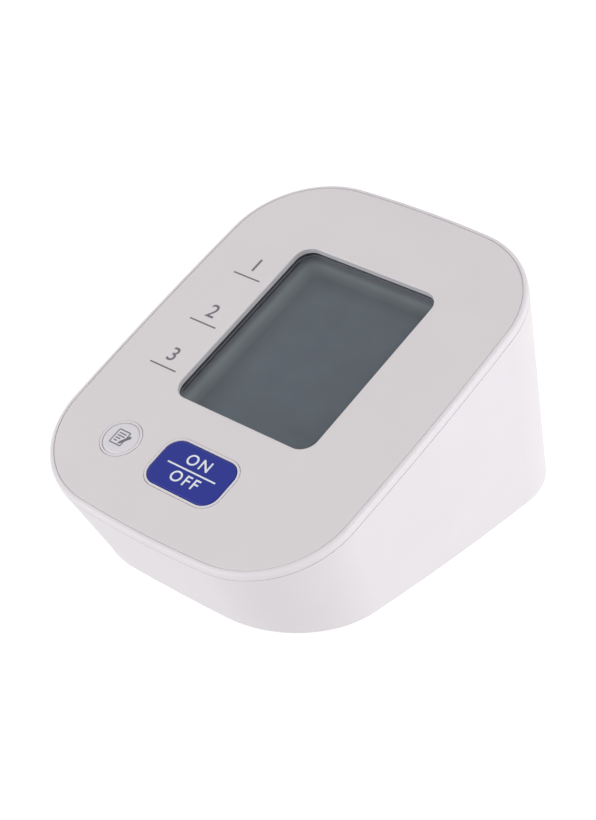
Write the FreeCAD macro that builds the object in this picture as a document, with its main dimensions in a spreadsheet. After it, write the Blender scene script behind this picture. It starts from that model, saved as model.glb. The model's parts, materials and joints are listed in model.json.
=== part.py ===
import FreeCAD, Part
import math
import os
import re

import Sketcher
from FreeCAD import Placement, Rotation, Vector

# Desktop blood pressure monitor: a wedge-shaped housing with a tilted panel, its display and
# keys, and the air pump, valve, board, batteries and sockets inside.
# Millimetres; +X to the user's right, +Y to the back, +Z up; the origin is on the ground below
# the middle of the bounding box. Panel pieces are drawn in the panel's own frame, with Z along
# the panel's normal and 0 on the faceplate's top surface.

SIZES = {
    # Housing
    "case_width": 103.0,
    "case_length": 147.2,
    "case_height": 80.4,
    "panel_tilt": 23.2,
    "wall": 2.0,
    "floor_thickness": 2.5,
    "seam_depth": 2.4,
    "seam_gap": 0.2,
    "rim_round": 1.2,
    "base_side_inset": 4.45,
    "base_front_inset": 15.5,
    "base_corner": 29.5,
    "base_side_bow": 1000.0,
    "base_end_bow": 600.0,
    "base_round": 1.0,
    "tongue_depth": 1.6,
    "tongue_width": 1.4,
    "tongue_gap": 0.8,
    "overrun": 2.0,
    "seat_gap": 0.05,
    # Faceplate, window and display
    "rim_width": 1.5,
    "faceplate_length": 130.0,
    "faceplate_thickness": 1.9,
    "faceplate_corner": 28.3,
    "faceplate_side_bow": 1137.0,
    "faceplate_end_bow": 352.0,
    "faceplate_gap": 0.15,
    "faceplate_round": 0.3,
    "deck_thickness": 2.0,
    "window_width": 49.8,
    "window_length": 62.6,
    "window_corner": 5.0,
    "window_centre": 8.4,
    "window_round": 0.4,
    "deck_window_margin": 0.3,
    "lens_margin": 2.0,
    "lens_thickness": 1.2,
    "lens_gap": 0.1,
    "lcd_side_margin": 3.1,
    "lcd_end_margin": 2.7,
    "lcd_front_thickness": 1.3,
    "lcd_back_thickness": 1.3,
    "lcd_ledge": 3.0,
    "lcd_gap": 0.2,
    "lcd_frame_side": 3.0,
    "lcd_frame_end": 4.0,
    "lcd_frame_plate": 1.0,
    "lcd_frame_wall": 2.0,
    "strip_width": 1.8,
    "strip_end_inset": 4.0,
    "strip_inset": 2.0,
    # Keys and their switches
    "start_width": 24.9,
    "start_length": 15.6,
    "start_corner": 4.6,
    "memory_radius": 5.4,
    "key_row_gap": 19.9,
    "memory_key_gap": 8.85,
    "collar_width": 0.65,
    "collar_proud": 0.1,
    "key_gap": 0.2,
    "key_proud": 0.3,
    "key_round": 0.7,
    "key_top": 1.4,
    "key_wall": 1.4,
    "key_flange": 1.2,
    "key_flange_thickness": 1.0,
    "key_plunger_radius": 2.2,
    "key_travel": 0.8,
    "switch_side": 6.2,
    "switch_height": 3.5,
    "stem_radius": 1.75,
    "stem_height": 1.5,
    "stem_floor": 0.4,
    # Board and what it carries
    "board_side_inset": 16.0,
    "board_front_margin": 6.3,
    "board_back_margin": 2.8,
    "board_corner": 3.0,
    "board_thickness": 1.6,
    "board_drop": 6.1,
    "board_post_radius": 2.4,
    "board_post_inset": 4.0,
    "board_post_front_gap": 2.8,
    "board_post_back_gap": 3.0,
    "board_screw_radius": 1.1,
    "board_screw_head": 2.0,
    "board_screw_head_height": 1.5,
    "board_screw_length": 6.0,
    "chip_side": 12.0,
    "chip_height": 1.6,
    "small_chip_width": 5.0,
    "small_chip_length": 4.0,
    "capacitor_radius": 3.0,
    "capacitor_height": 7.0,
    "header_width": 8.0,
    "header_length": 5.0,
    "header_height": 5.0,
    "header_wall": 0.8,
    "buzzer_radius": 6.0,
    "buzzer_height": 4.5,
    "buzzer_hole": 1.0,
    "sensor_side": 8.0,
    "sensor_height": 4.2,
    # Case screws and their bosses
    "case_screw_front_side": 11.5,
    "case_screw_front_inset": 23.0,
    "case_screw_back_side": 12.0,
    "case_screw_back_inset": 25.0,
    "case_post_radius": 3.4,
    "case_post_length": 9.1,
    "case_boss_radius": 4.4,
    "case_boss_floor": 2.5,
    "case_screw_radius": 1.5,
    "case_screw_head": 2.8,
    "case_screw_head_height": 2.0,
    "case_screw_length": 9.0,
    "screw_gap": 0.04,
    "counterbore_gap": 0.3,
    # Feet
    "foot_radius": 4.5,
    "foot_proud": 0.6,
    "foot_sunk": 1.0,
    "foot_front_side": 16.2,
    "foot_front_inset": 12.8,
    "foot_back_side": 9.7,
    "foot_back_inset": 36.5,
    # Batteries, their compartment and its cover
    "cell_radius": 7.1,
    "cell_body": 49.2,
    "cell_cap_radius": 2.75,
    "cell_cap_height": 1.2,
    "cell_edge": 0.6,
    "cell_gap": 0.5,
    "cell_lift": 0.4,
    "contact_thickness": 0.4,
    "contact_height": 9.0,
    "contact_width": 11.0,
    "battery_spring_length": 4.0,
    "battery_spring_radius": 3.4,
    "battery_spring_top": 2.4,
    "battery_spring_wire": 0.25,
    "well_wall": 2.0,
    "well_hinge_wall": 4.0,
    "well_ceiling": 1.5,
    "well_back_inset": 18.5,
    "cover_thickness": 1.8,
    "cover_ledge": 1.5,
    "cover_gap": 0.3,
    "cover_corner": 2.5,
    "cover_pin_radius": 0.5,
    "cover_pin_length": 1.6,
    "cover_latch_width": 12.0,
    "cover_latch_height": 4.4,
    "cover_latch_thickness": 1.2,
    "cover_grip_width": 16.0,
    "cover_grip_depth": 7.0,
    # Motor
    "motor_radius": 12.2,
    "motor_length": 31.0,
    "motor_edge": 1.0,
    "motor_boss_radius": 3.5,
    "motor_boss_height": 1.8,
    "motor_cap_radius": 10.0,
    "motor_cap_height": 2.4,
    "motor_terminal_width": 2.8,
    "motor_terminal_thickness": 0.5,
    "motor_terminal_length": 4.0,
    "motor_terminal_place": 7.0,
    "shaft_radius": 1.0,
    "shaft_tail": 1.2,
    "shaft_nose": 6.2,
    "running_gap": 0.05,
    "sleeve_thickness": 1.5,
    "sleeve_length": 20.0,
    "sleeve_start": 6.0,
    # Pump head on the motor's face
    "pump_place_x": 2.0,
    "pump_well_gap": 4.65,
    "pump_height": 17.6,
    "pump_side": 26.6,
    "pump_corner": 4.5,
    "pump_bore": 11.6,
    "pump_floor": 2.0,
    "pump_chamber": 14.0,
    "crank_radius": 4.5,
    "crank_start": 3.2,
    "crank_length": 6.0,
    "crank_offset": 0.8,
    "drive_pin_radius": 0.75,
    "drive_pin_depth": 2.4,
    "drive_pivot": 14.6,
    "drive_plate_place": 11.6,
    "drive_plate_thickness": 1.6,
    "drive_hub_radius": 3.2,
    "drive_arm_radius": 7.5,
    "drive_arm_width": 5.0,
    "drive_hole_radius": 1.8,
    "diaphragm_thickness": 1.2,
    "diaphragm_stem_radius": 1.1,
    "diaphragm_stem_length": 3.6,
    "diaphragm_cup_radius": 3.4,
    "diaphragm_cup_height": 1.2,
    "valve_plate_thickness": 3.0,
    "valve_port_radius": 0.7,
    "cover_plate_thickness": 3.8,
    "cover_room_radius": 9.0,
    "cover_room_height": 1.8,
    "pump_screw_spread": 21.2,
    "pump_screw_radius": 0.9,
    "pump_screw_head": 1.6,
    "pump_screw_head_height": 1.2,
    "pump_screw_length": 16.0,
    # Hoses and nipples
    "nipple_radius": 1.5,
    "nipple_bore": 0.9,
    "nipple_length": 6.5,
    "hose_radius": 2.7,
    "hose_gap": 0.05,
    # Air jack on the left wall
    "air_jack_inset": 2.6,
    "air_jack_back_inset": 56.5,
    "air_bore_radius": 3.4,
    "air_bore_depth": 10.5,
    "air_bore_lead": 0.5,
    "air_face_radius": 7.0,
    "air_face_length": 2.9,
    "air_flange_radius": 8.6,
    "air_flange_thickness": 1.5,
    "air_body_radius": 5.5,
    "air_body_length": 24.0,
    "air_pump_port": 13.0,
    "air_sensor_port": 19.9,
    "air_hole_gap": 0.15,
    # Exhaust valve
    "valve_hose_length": 16.9,
    "valve_length": 22.0,
    "valve_side": 15.0,
    "valve_sheet": 1.2,
    "bobbin_bore": 3.15,
    "bobbin_wall": 0.85,
    "bobbin_flange": 6.2,
    "bobbin_flange_thickness": 1.0,
    "bobbin_gap": 0.2,
    "coil_radius": 5.9,
    "core_radius": 3.0,
    "core_length": 8.0,
    "core_head": 4.0,
    "core_head_height": 0.8,
    "plunger_radius": 3.0,
    "plunger_start": 9.0,
    "plunger_shoulder": 14.0,
    "plunger_end": 18.5,
    "plunger_nose": 1.6,
    "seal_length": 1.5,
    "valve_spring_radius": 2.25,
    "valve_spring_wire": 0.25,
    "nozzle_radius": 6.0,
    "nozzle_thickness": 2.0,
    "nozzle_spigot": 3.4,
    # Adapter socket at the back
    "dc_place_x": 22.0,
    "dc_width": 9.0,
    "dc_height": 11.0,
    "dc_depth": 11.0,
    "dc_barrel_radius": 4.0,
    "dc_barrel_length": 4.0,
    "dc_bore_radius": 3.1,
    "dc_bore_depth": 12.0,
    "dc_pin_radius": 1.0,
    "dc_pin_reach": 1.0,
    "dc_contact_width": 2.4,
    "dc_contact_thickness": 0.4,
    "dc_sunk": 1.8,
    # Ribs that hold the inner pieces
    "rib": 2.0,
    "motor_rib_near": 9.0,
    "motor_rib_far": 23.0,
    "pump_rib_place": 11.0,
    "cradle_margin": 3.0,
    "locator_height": 6.0,
    "air_rib_place": 8.0,
    "air_rib_width": 16.0,
    # Wire leads
    "wire_radius": 0.55,
    "wire_pitch": 2.4,
    "wire_hole_gap": 0.25,
    "wire_clear": 2.0,
    "wire_rise": 6.0,
    "wire_drop": 9.0,
    "wire_side": 3.6,
    "wire_turn": 17.0,
}

COUNTS = {"cells": 4, "pump_cups": 3, "battery_spring_turns": 3, "valve_spring_turns": 6}

doc = FreeCAD.newDocument("BloodPressureMonitor")
sheet = doc.addObject("Spreadsheet::Sheet", "Sizes")
for row, (alias, number) in enumerate(SIZES.items(), start=1):
    sheet.set(f"A{row}", alias)
    sheet.set(f"B{row}", str(number))
    sheet.setAlias(f"B{row}", alias)
doc.recompute()

WORD = re.compile(r"[A-Za-z_]\w*")
NODES = []

# Places that several pieces share, written in the sheet's names
FACEPLATE_WIDTH = "(case_width - 2*rim_width)"
BASE_WIDTH = "(case_width - 2*base_side_inset)"
BASE_LENGTH = "(case_length - base_front_inset)"
WINDOW_FRONT = "(window_centre - window_length/2)"
LCD_WIDTH = "(window_width + 2*lcd_side_margin)"
LCD_LENGTH = "(window_length + 2*lcd_end_margin)"
LCD_FRAME_WIDTH = f"({LCD_WIDTH} + 2*lcd_frame_side)"
LCD_FRAME_LENGTH = f"({LCD_LENGTH} + 2*lcd_frame_end)"
KEY_ROW = f"({WINDOW_FRONT} - key_row_gap)"
MEMORY_COLUMN = "(-start_width/2 - memory_key_gap - memory_radius)"
BOARD_WIDTH = f"({FACEPLATE_WIDTH} - 2*board_side_inset)"
POST_FRONT = f"(window_centre - {LCD_FRAME_LENGTH}/2 - board_post_front_gap)"
POST_BACK = f"(window_centre + {LCD_FRAME_LENGTH}/2 + board_post_back_gap)"
BOARD_FRONT = f"({KEY_ROW} - switch_side/2 - board_front_margin)"
BOARD_BACK = f"({POST_BACK} + board_back_margin)"
HEADER_ROW = f"({BOARD_BACK} - 2*header_length)"
RIM_REACH = f"(faceplate_length/2 + rim_width - rim_round)"
PANEL_Y = f"(-case_length/2 + {RIM_REACH}*cos(panel_tilt) - rim_round*sin(panel_tilt) + rim_round)"
PANEL_Z = f"(case_height - {RIM_REACH}*sin(panel_tilt) + rim_round*cos(panel_tilt) - rim_round)"
DECK_UNDER = "(faceplate_thickness + deck_thickness)"
BOARD_TOP = f"({DECK_UNDER} + board_drop)"
BOARD_UNDER = f"({BOARD_TOP} + board_thickness)"
STEM_TOP = f"({BOARD_TOP} - switch_height - stem_height)"
LCD_TOP = f"({DECK_UNDER} + lcd_gap)"
LCD_UNDER = f"({LCD_TOP} + lcd_front_thickness + lcd_back_thickness)"
POST_END = f"({DECK_UNDER} + case_post_length)"
BASE_Y = "(base_front_inset/2)"
INNER_FLOOR = "(foot_proud + floor_thickness)"
WELL_WIDTH = f"({2*COUNTS['cells']}*cell_radius + {COUNTS['cells'] + 1}*cell_gap)"
WELL_LENGTH = "(cell_body + cell_cap_height + battery_spring_length + 2*contact_thickness + 2*seat_gap)"
WELL_BACK = "(case_length/2 - well_back_inset)"
WELL_FRONT = f"({WELL_BACK} - {WELL_LENGTH})"
WELL_LOW = "(foot_proud + cover_thickness)"
WELL_HIGH = f"({WELL_LOW} + 2*cell_lift + 2*cell_radius)"
WELL_TOP = f"({WELL_HIGH} + well_ceiling)"
CELL_Z = f"({WELL_LOW} + cell_lift + cell_radius)"
WIRE_Z = f"({CELL_Z} + contact_height/4)"
PUMP_Y = f"({WELL_FRONT} - well_wall - pump_well_gap - motor_radius - sleeve_thickness)"
AIR_X = "(-case_width/2 + air_jack_inset)"
AIR_Y = "(case_length/2 - air_jack_back_inset)"
AIR_Z = f"({WELL_TOP} + valve_side/2)"
VALVE_X = f"({AIR_X} + air_body_length + valve_hose_length + nozzle_thickness + valve_length)"
AIR_V = f"(({AIR_Y} - {PANEL_Y})*cos(panel_tilt) + ({AIR_Z} - {PANEL_Z})*sin(panel_tilt))"
AIR_W = f"(({AIR_Z} - {PANEL_Z})*cos(panel_tilt) - ({AIR_Y} - {PANEL_Y})*sin(panel_tilt))"
SEAM = "(seam_depth + seam_gap)"
SEAM_BACK_Y = f"({PANEL_Y} + (faceplate_length/2 + rim_width)*cos(panel_tilt) + {SEAM}*sin(panel_tilt))"
SEAM_BACK_Z = f"({PANEL_Z} + (faceplate_length/2 + rim_width)*sin(panel_tilt) - {SEAM}*cos(panel_tilt))"
BACK_LEAN = f"((case_length/2 - {SEAM_BACK_Y})/({SEAM_BACK_Z} - foot_proud))"
DC_LOW = f"({WELL_TOP} + seat_gap)"
DC_Z = f"({DC_LOW} + dc_height/2)"
DC_FACE = f"(case_length/2 - ({DC_Z} - foot_proud)*{BACK_LEAN} - dc_sunk)"
COVER_END = "((cover_thickness - seat_gap)/2)"
COVER_AXIS_Y = f"({WELL_BACK} + cover_ledge - cover_gap - {COVER_END})"
COVER_AXIS_Z = f"(foot_proud + {COVER_END})"
COVER_WIDTH = f"({WELL_WIDTH} + 2*cover_ledge)"

TURNS = {
    "x": Rotation(Vector(0, 0, 1), Vector(1, 0, 0)),
    "-x": Rotation(Vector(0, 0, 1), Vector(-1, 0, 0)),
    "y": Rotation(Vector(0, 0, 1), Vector(0, 1, 0)),
    "-y": Rotation(Vector(0, 0, 1), Vector(0, -1, 0)),
    "z": Rotation(),
    "-z": Rotation(Vector(1, 0, 0), 180),
}


def cells_of(text):
    """Write a formula's size names as cells of the sheet."""
    return WORD.sub(lambda word: "Sizes." + word.group() if word.group() in SIZES else word.group(), text)


def value(text):
    """The number that a formula gives for the sheet's sizes."""
    return float(sheet.evalExpression(cells_of(text).replace("Sizes.", "")))


def bind(item, name, text):
    """Tie one property of an object to a formula."""
    item.setExpression(name, cells_of(text))


def place(item, x="0", y="0", z="0", axis="z"):
    """Stand an object at a point, with its own Z along an axis of the frame."""
    item.Placement = Placement(Vector(), TURNS[axis])
    bind(item, "Placement.Base.x", x)
    bind(item, "Placement.Base.y", y)
    bind(item, "Placement.Base.z", z)
    return item


def on_panel(item):
    """Lay an object that is drawn in the panel's frame onto the tilted panel."""
    item.Placement = Placement(Vector(), Rotation(Vector(1, 0, 0), SIZES["panel_tilt"]))
    bind(item, "Placement.Rotation.Angle", "panel_tilt")
    bind(item, "Placement.Base.y", PANEL_Y)
    bind(item, "Placement.Base.z", PANEL_Z)
    return item


def on_pump(item):
    """Stand an object that is drawn along the pump's axis on the motor's face."""
    return place(item, "pump_place_x", PUMP_Y, "pump_height", "-x")


def on_valve(item):
    """Stand an object that is drawn along the valve's axis at the valve's closed end."""
    return place(item, VALVE_X, AIR_Y, AIR_Z, "-x")


def node(item, label):
    """Name a finished piece and put it on the list that is written out."""
    item.Label = label
    NODES.append(item)
    return item


def box(name, width, length, height, x="0", y="0", z="0"):
    """A block centred on x and y that stands on z."""
    item = doc.addObject("Part::Box", name)
    bind(item, "Length", width)
    bind(item, "Width", length)
    bind(item, "Height", height)
    return place(item, f"{x} - ({width})/2", f"{y} - ({length})/2", z)


def rod(name, radius, length, x="0", y="0", z="0", axis="z"):
    """A cylinder that starts at a point and runs along an axis."""
    item = doc.addObject("Part::Cylinder", name)
    bind(item, "Radius", radius)
    bind(item, "Height", length)
    return place(item, x, y, z, axis)


def fuse(name, items):
    """Join several solids into one."""
    item = doc.addObject("Part::MultiFuse", name)
    item.Shapes = items
    item.Refine = True
    return item


def cut(name, base, tools):
    """Take one or more solids away from another."""
    item = doc.addObject("Part::Cut", name)
    item.Base = base
    item.Tool = tools[0] if len(tools) == 1 else fuse(name + "_tools", tools)
    item.Refine = True
    return item


def common(name, base, tool):
    """Keep what two solids share."""
    item = doc.addObject("Part::Common", name)
    item.Base = base
    item.Tool = tool
    return item


def group(name, items):
    """Several separate solids of one kind in one object."""
    item = doc.addObject("Part::Compound", name)
    item.Links = items
    return item


def new_sketch(body, name, height="0", role="XY_Plane"):
    """A sketch on one of a body's own planes, lifted along the plane's normal."""
    sketch = body.newObject("Sketcher::SketchObject", name)
    plane = next(item for item in body.Origin.OriginFeatures if item.Role == role)
    sketch.AttachmentSupport = [(plane, "")]
    sketch.MapMode = "FlatFace"
    bind(sketch, "AttachmentOffset.Base.z", height)
    return sketch


def drive(sketch, constraint, text=None):
    """Add a constraint and tie its value to a formula."""
    index = sketch.addConstraint(constraint)
    if text is not None:
        sketch.setExpression(f"Constraints[{index}]", cells_of(text))


def fix_point(sketch, geometry, point, x, y):
    """Hold a point of a sketch at x and y."""
    for kind, axis, text in (("DistanceX", -2, x), ("DistanceY", -1, y)):
        if text == "0":
            drive(sketch, Sketcher.Constraint("PointOnObject", geometry, point, axis))
        else:
            drive(sketch, Sketcher.Constraint(kind, -1, 1, geometry, point, value(text)), text)


def add_circle(sketch, radius, x="0", y="0"):
    """Draw a circle in a sketch."""
    centre = Vector(value(x), value(y), 0)
    index = sketch.addGeometry(Part.Circle(centre, Vector(0, 0, 1), value(radius)))
    drive(sketch, Sketcher.Constraint("Radius", index, value(radius)), radius)
    fix_point(sketch, index, 3, x, y)


def add_polygon(sketch, points):
    """Draw a closed outline of straight lines through points given as formulas."""
    first = sketch.GeometryCount
    corners = [Vector(value(x), value(y), 0) for x, y in points]
    for start, end in zip(corners, corners[1:] + corners[:1]):
        sketch.addGeometry(Part.LineSegment(start, end))
    for index, (x, y) in enumerate(points):
        before = first + (index - 1) % len(points)
        drive(sketch, Sketcher.Constraint("Coincident", before, 2, first + index, 1))
        fix_point(sketch, first + index, 1, x, y)


def add_arc(sketch, centre, radius, start, end):
    """Draw an arc between two angles in radians."""
    circle = Part.Circle(Vector(centre[0], centre[1], 0), Vector(0, 0, 1), radius)
    return sketch.addGeometry(Part.ArcOfCircle(circle, start, end))


def add_rounded(sketch, width, length, radius, x="0", y="0"):
    """Draw a rectangle with rounded corners."""
    half_width, half_length = value(f"({width})/2"), value(f"({length})/2")
    round_size, middle = value(radius), Vector(value(x), value(y), 0)
    reach_x, reach_y = half_width - round_size, half_length - round_size
    sides = ((1, 1), (-1, 1), (-1, -1), (1, -1))
    arcs = []
    for turn, (side_x, side_y) in enumerate(sides):
        centre = (middle.x + side_x*reach_x, middle.y + side_y*reach_y)
        start = turn*math.pi/2
        arcs.append(add_arc(sketch, centre, round_size, start, start + math.pi/2))
        fix_point(sketch, arcs[-1], 3, f"{x} + ({side_x})*(({width})/2 - ({radius}))",
                  f"{y} + ({side_y})*(({length})/2 - ({radius}))")
    drive(sketch, Sketcher.Constraint("Radius", arcs[0], round_size), radius)
    for turn, arc in enumerate(arcs):
        after = arcs[(turn + 1) % len(arcs)]
        ends = [sketch.getPoint(arc, 2), sketch.getPoint(after, 1)]
        line = sketch.addGeometry(Part.LineSegment(*ends))
        drive(sketch, Sketcher.Constraint("Tangent", arc, 2, line, 1))
        drive(sketch, Sketcher.Constraint("Tangent", line, 2, after, 1))
        if turn:
            drive(sketch, Sketcher.Constraint("Equal", arcs[0], arc))


def add_bowed(sketch, width, length, corner, side_bow, end_bow, grow="0"):
    """Draw a rectangle with slightly bowed sides that run smoothly into round corners.

    Every arc is moved outwards by grow, so that nested outlines stay parallel.
    """
    half_width, half_length = value(f"({width})/2 + {grow}"), value(f"({length})/2 + {grow}")
    radius, side, end = (value(f"{size} + {grow}") for size in (corner, side_bow, end_bow))
    side_centre = Vector(half_width - side, 0, 0)
    end_centre = Vector(0, half_length - end, 0)
    apart = end_centre - side_centre
    along = ((side - radius)**2 - (end - radius)**2 + apart.Length**2)/(2*apart.Length)
    across = math.sqrt((side - radius)**2 - along**2)
    normal = Vector(-apart.y, apart.x, 0).normalize()
    corner_centre = side_centre + Vector(apart).normalize()*along - normal*across
    if corner_centre.x < 0:
        corner_centre = corner_centre + normal*(2*across)
    from_side = math.atan2(corner_centre.y, corner_centre.x - side_centre.x)
    from_end = math.atan2(corner_centre.y - end_centre.y, corner_centre.x)
    half = math.pi
    x, y = corner_centre.x, corner_centre.y
    arcs = [
        add_arc(sketch, (side_centre.x, 0), side, -from_side, from_side),
        add_arc(sketch, (x, y), radius, from_side, from_end),
        add_arc(sketch, (0, end_centre.y), end, from_end, half - from_end),
        add_arc(sketch, (-x, y), radius, half - from_end, half - from_side),
        add_arc(sketch, (-side_centre.x, 0), side, half - from_side, half + from_side),
        add_arc(sketch, (-x, -y), radius, half + from_side, half + from_end),
        add_arc(sketch, (0, -end_centre.y), end, half + from_end, 2*half - from_end),
        add_arc(sketch, (x, -y), radius, 2*half - from_end, 2*half - from_side),
    ]
    for arc, after in zip(arcs, arcs[1:] + arcs[:1]):
        drive(sketch, Sketcher.Constraint("Tangent", arc, 2, after, 1))
    for arc, text in ((arcs[0], side_bow), (arcs[1], corner), (arcs[2], end_bow)):
        size = f"{text} + {grow}"
        drive(sketch, Sketcher.Constraint("Radius", arc, value(size)), size)
    for arc, twin in ((0, 4), (2, 6), (1, 3), (1, 5), (1, 7)):
        drive(sketch, Sketcher.Constraint("Equal", arcs[arc], arcs[twin]))
    out_x, out_y = f"({width})/2 - ({side_bow})", f"({length})/2 - ({end_bow})"
    fix_point(sketch, arcs[0], 3, out_x, "0")
    fix_point(sketch, arcs[4], 3, f"-({out_x})", "0")
    fix_point(sketch, arcs[2], 3, "0", out_y)
    fix_point(sketch, arcs[6], 3, "0", f"-({out_y})")


def panel_outline(sketch, grow="0"):
    """Draw the faceplate's outline, or one parallel to it."""
    add_bowed(sketch, FACEPLATE_WIDTH, "faceplate_length", "faceplate_corner",
              "faceplate_side_bow", "faceplate_end_bow", grow)


def base_outline(sketch, grow="0"):
    """Draw the housing's outline on the ground, or one parallel to it."""
    add_bowed(sketch, BASE_WIDTH, BASE_LENGTH, "base_corner", "base_side_bow", "base_end_bow", grow)


def window_outline(sketch, margin="0", corner="window_corner"):
    """Draw the display window, or an outline parallel to it."""
    add_rounded(sketch, f"window_width + 2*({margin})", f"window_length + 2*({margin})",
                f"{corner} + {margin}", y="window_centre")


def key_outlines(sketch, margin="0"):
    """Draw both keys' outlines, or outlines parallel to them."""
    start_outline(sketch, margin)
    memory_outline(sketch, margin)


def start_outline(sketch, margin="0"):
    """Draw the start key's outline, or one parallel to it."""
    add_rounded(sketch, f"start_width + 2*({margin})", f"start_length + 2*({margin})",
                f"start_corner + {margin}", y=KEY_ROW)


def memory_outline(sketch, margin="0"):
    """Draw the memory key's outline, or one parallel to it."""
    add_circle(sketch, f"memory_radius + {margin}", MEMORY_COLUMN, KEY_ROW)


def cover_outline(sketch, grow="0"):
    """Draw the battery cover's recess, or an outline parallel to it."""
    add_rounded(sketch, f"{WELL_WIDTH} + 2*(cover_ledge + {grow})",
                f"{WELL_LENGTH} + 2*(cover_ledge + {grow})",
                f"cover_corner + {grow}")


def pad(body, sketch, length, down=False):
    """Raise a sketch into a solid."""
    feature = body.newObject("PartDesign::Pad", sketch.Name + "_pad")
    feature.Profile = sketch
    feature.Reversed = down
    bind(feature, "Length", length)
    sketch.Visibility = False
    return feature


def pocket(body, sketch, depth, up=False):
    """Sink a sketch into a solid and make sure that it takes material away."""
    doc.recompute()
    before = body.Shape.Volume
    feature = body.newObject("PartDesign::Pocket", sketch.Name + "_pocket")
    feature.Profile = sketch
    feature.Reversed = up
    bind(feature, "Length", depth)
    doc.recompute()
    if not body.Shape.Volume < before:
        raise RuntimeError(sketch.Name + " cuts nothing")
    return feature


def soften(body, base, radius, chosen):
    """Round the edges of a body's last feature that a test picks."""
    doc.recompute()
    names = [f"Edge{i}" for i, edge in enumerate(base.Shape.Edges, start=1) if chosen(edge)]
    feature = body.newObject("PartDesign::Fillet", base.Name + "_round")
    feature.Base = (base, names)
    bind(feature, "Radius", radius)
    doc.recompute()
    return feature


def at_height(text):
    """A test for edges that lie flat at one height."""
    height = value(text)
    return lambda edge: all(abs(corner.Z - height) < Part.Precision.approximation()
                            for corner in edge.Vertexes)


def turned(name, points):
    """A body turned about its own Z axis from (radius, height) points."""
    body = doc.addObject("PartDesign::Body", name)
    sketch = new_sketch(body, name + "_profile", role="XZ_Plane")
    add_polygon(sketch, points)
    feature = body.newObject("PartDesign::Revolution", name + "_turn")
    feature.Profile = sketch
    feature.ReferenceAxis = (sketch, ["V_Axis"])
    feature.Angle = 360
    return body


def padded(name, draw, length, height="0"):
    """A body raised from one sketch that starts at a height."""
    body = doc.addObject("PartDesign::Body", name)
    sketch = new_sketch(body, name + "_outline", height)
    draw(sketch)
    pad(body, sketch, length)
    return body


# Lower case

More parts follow.
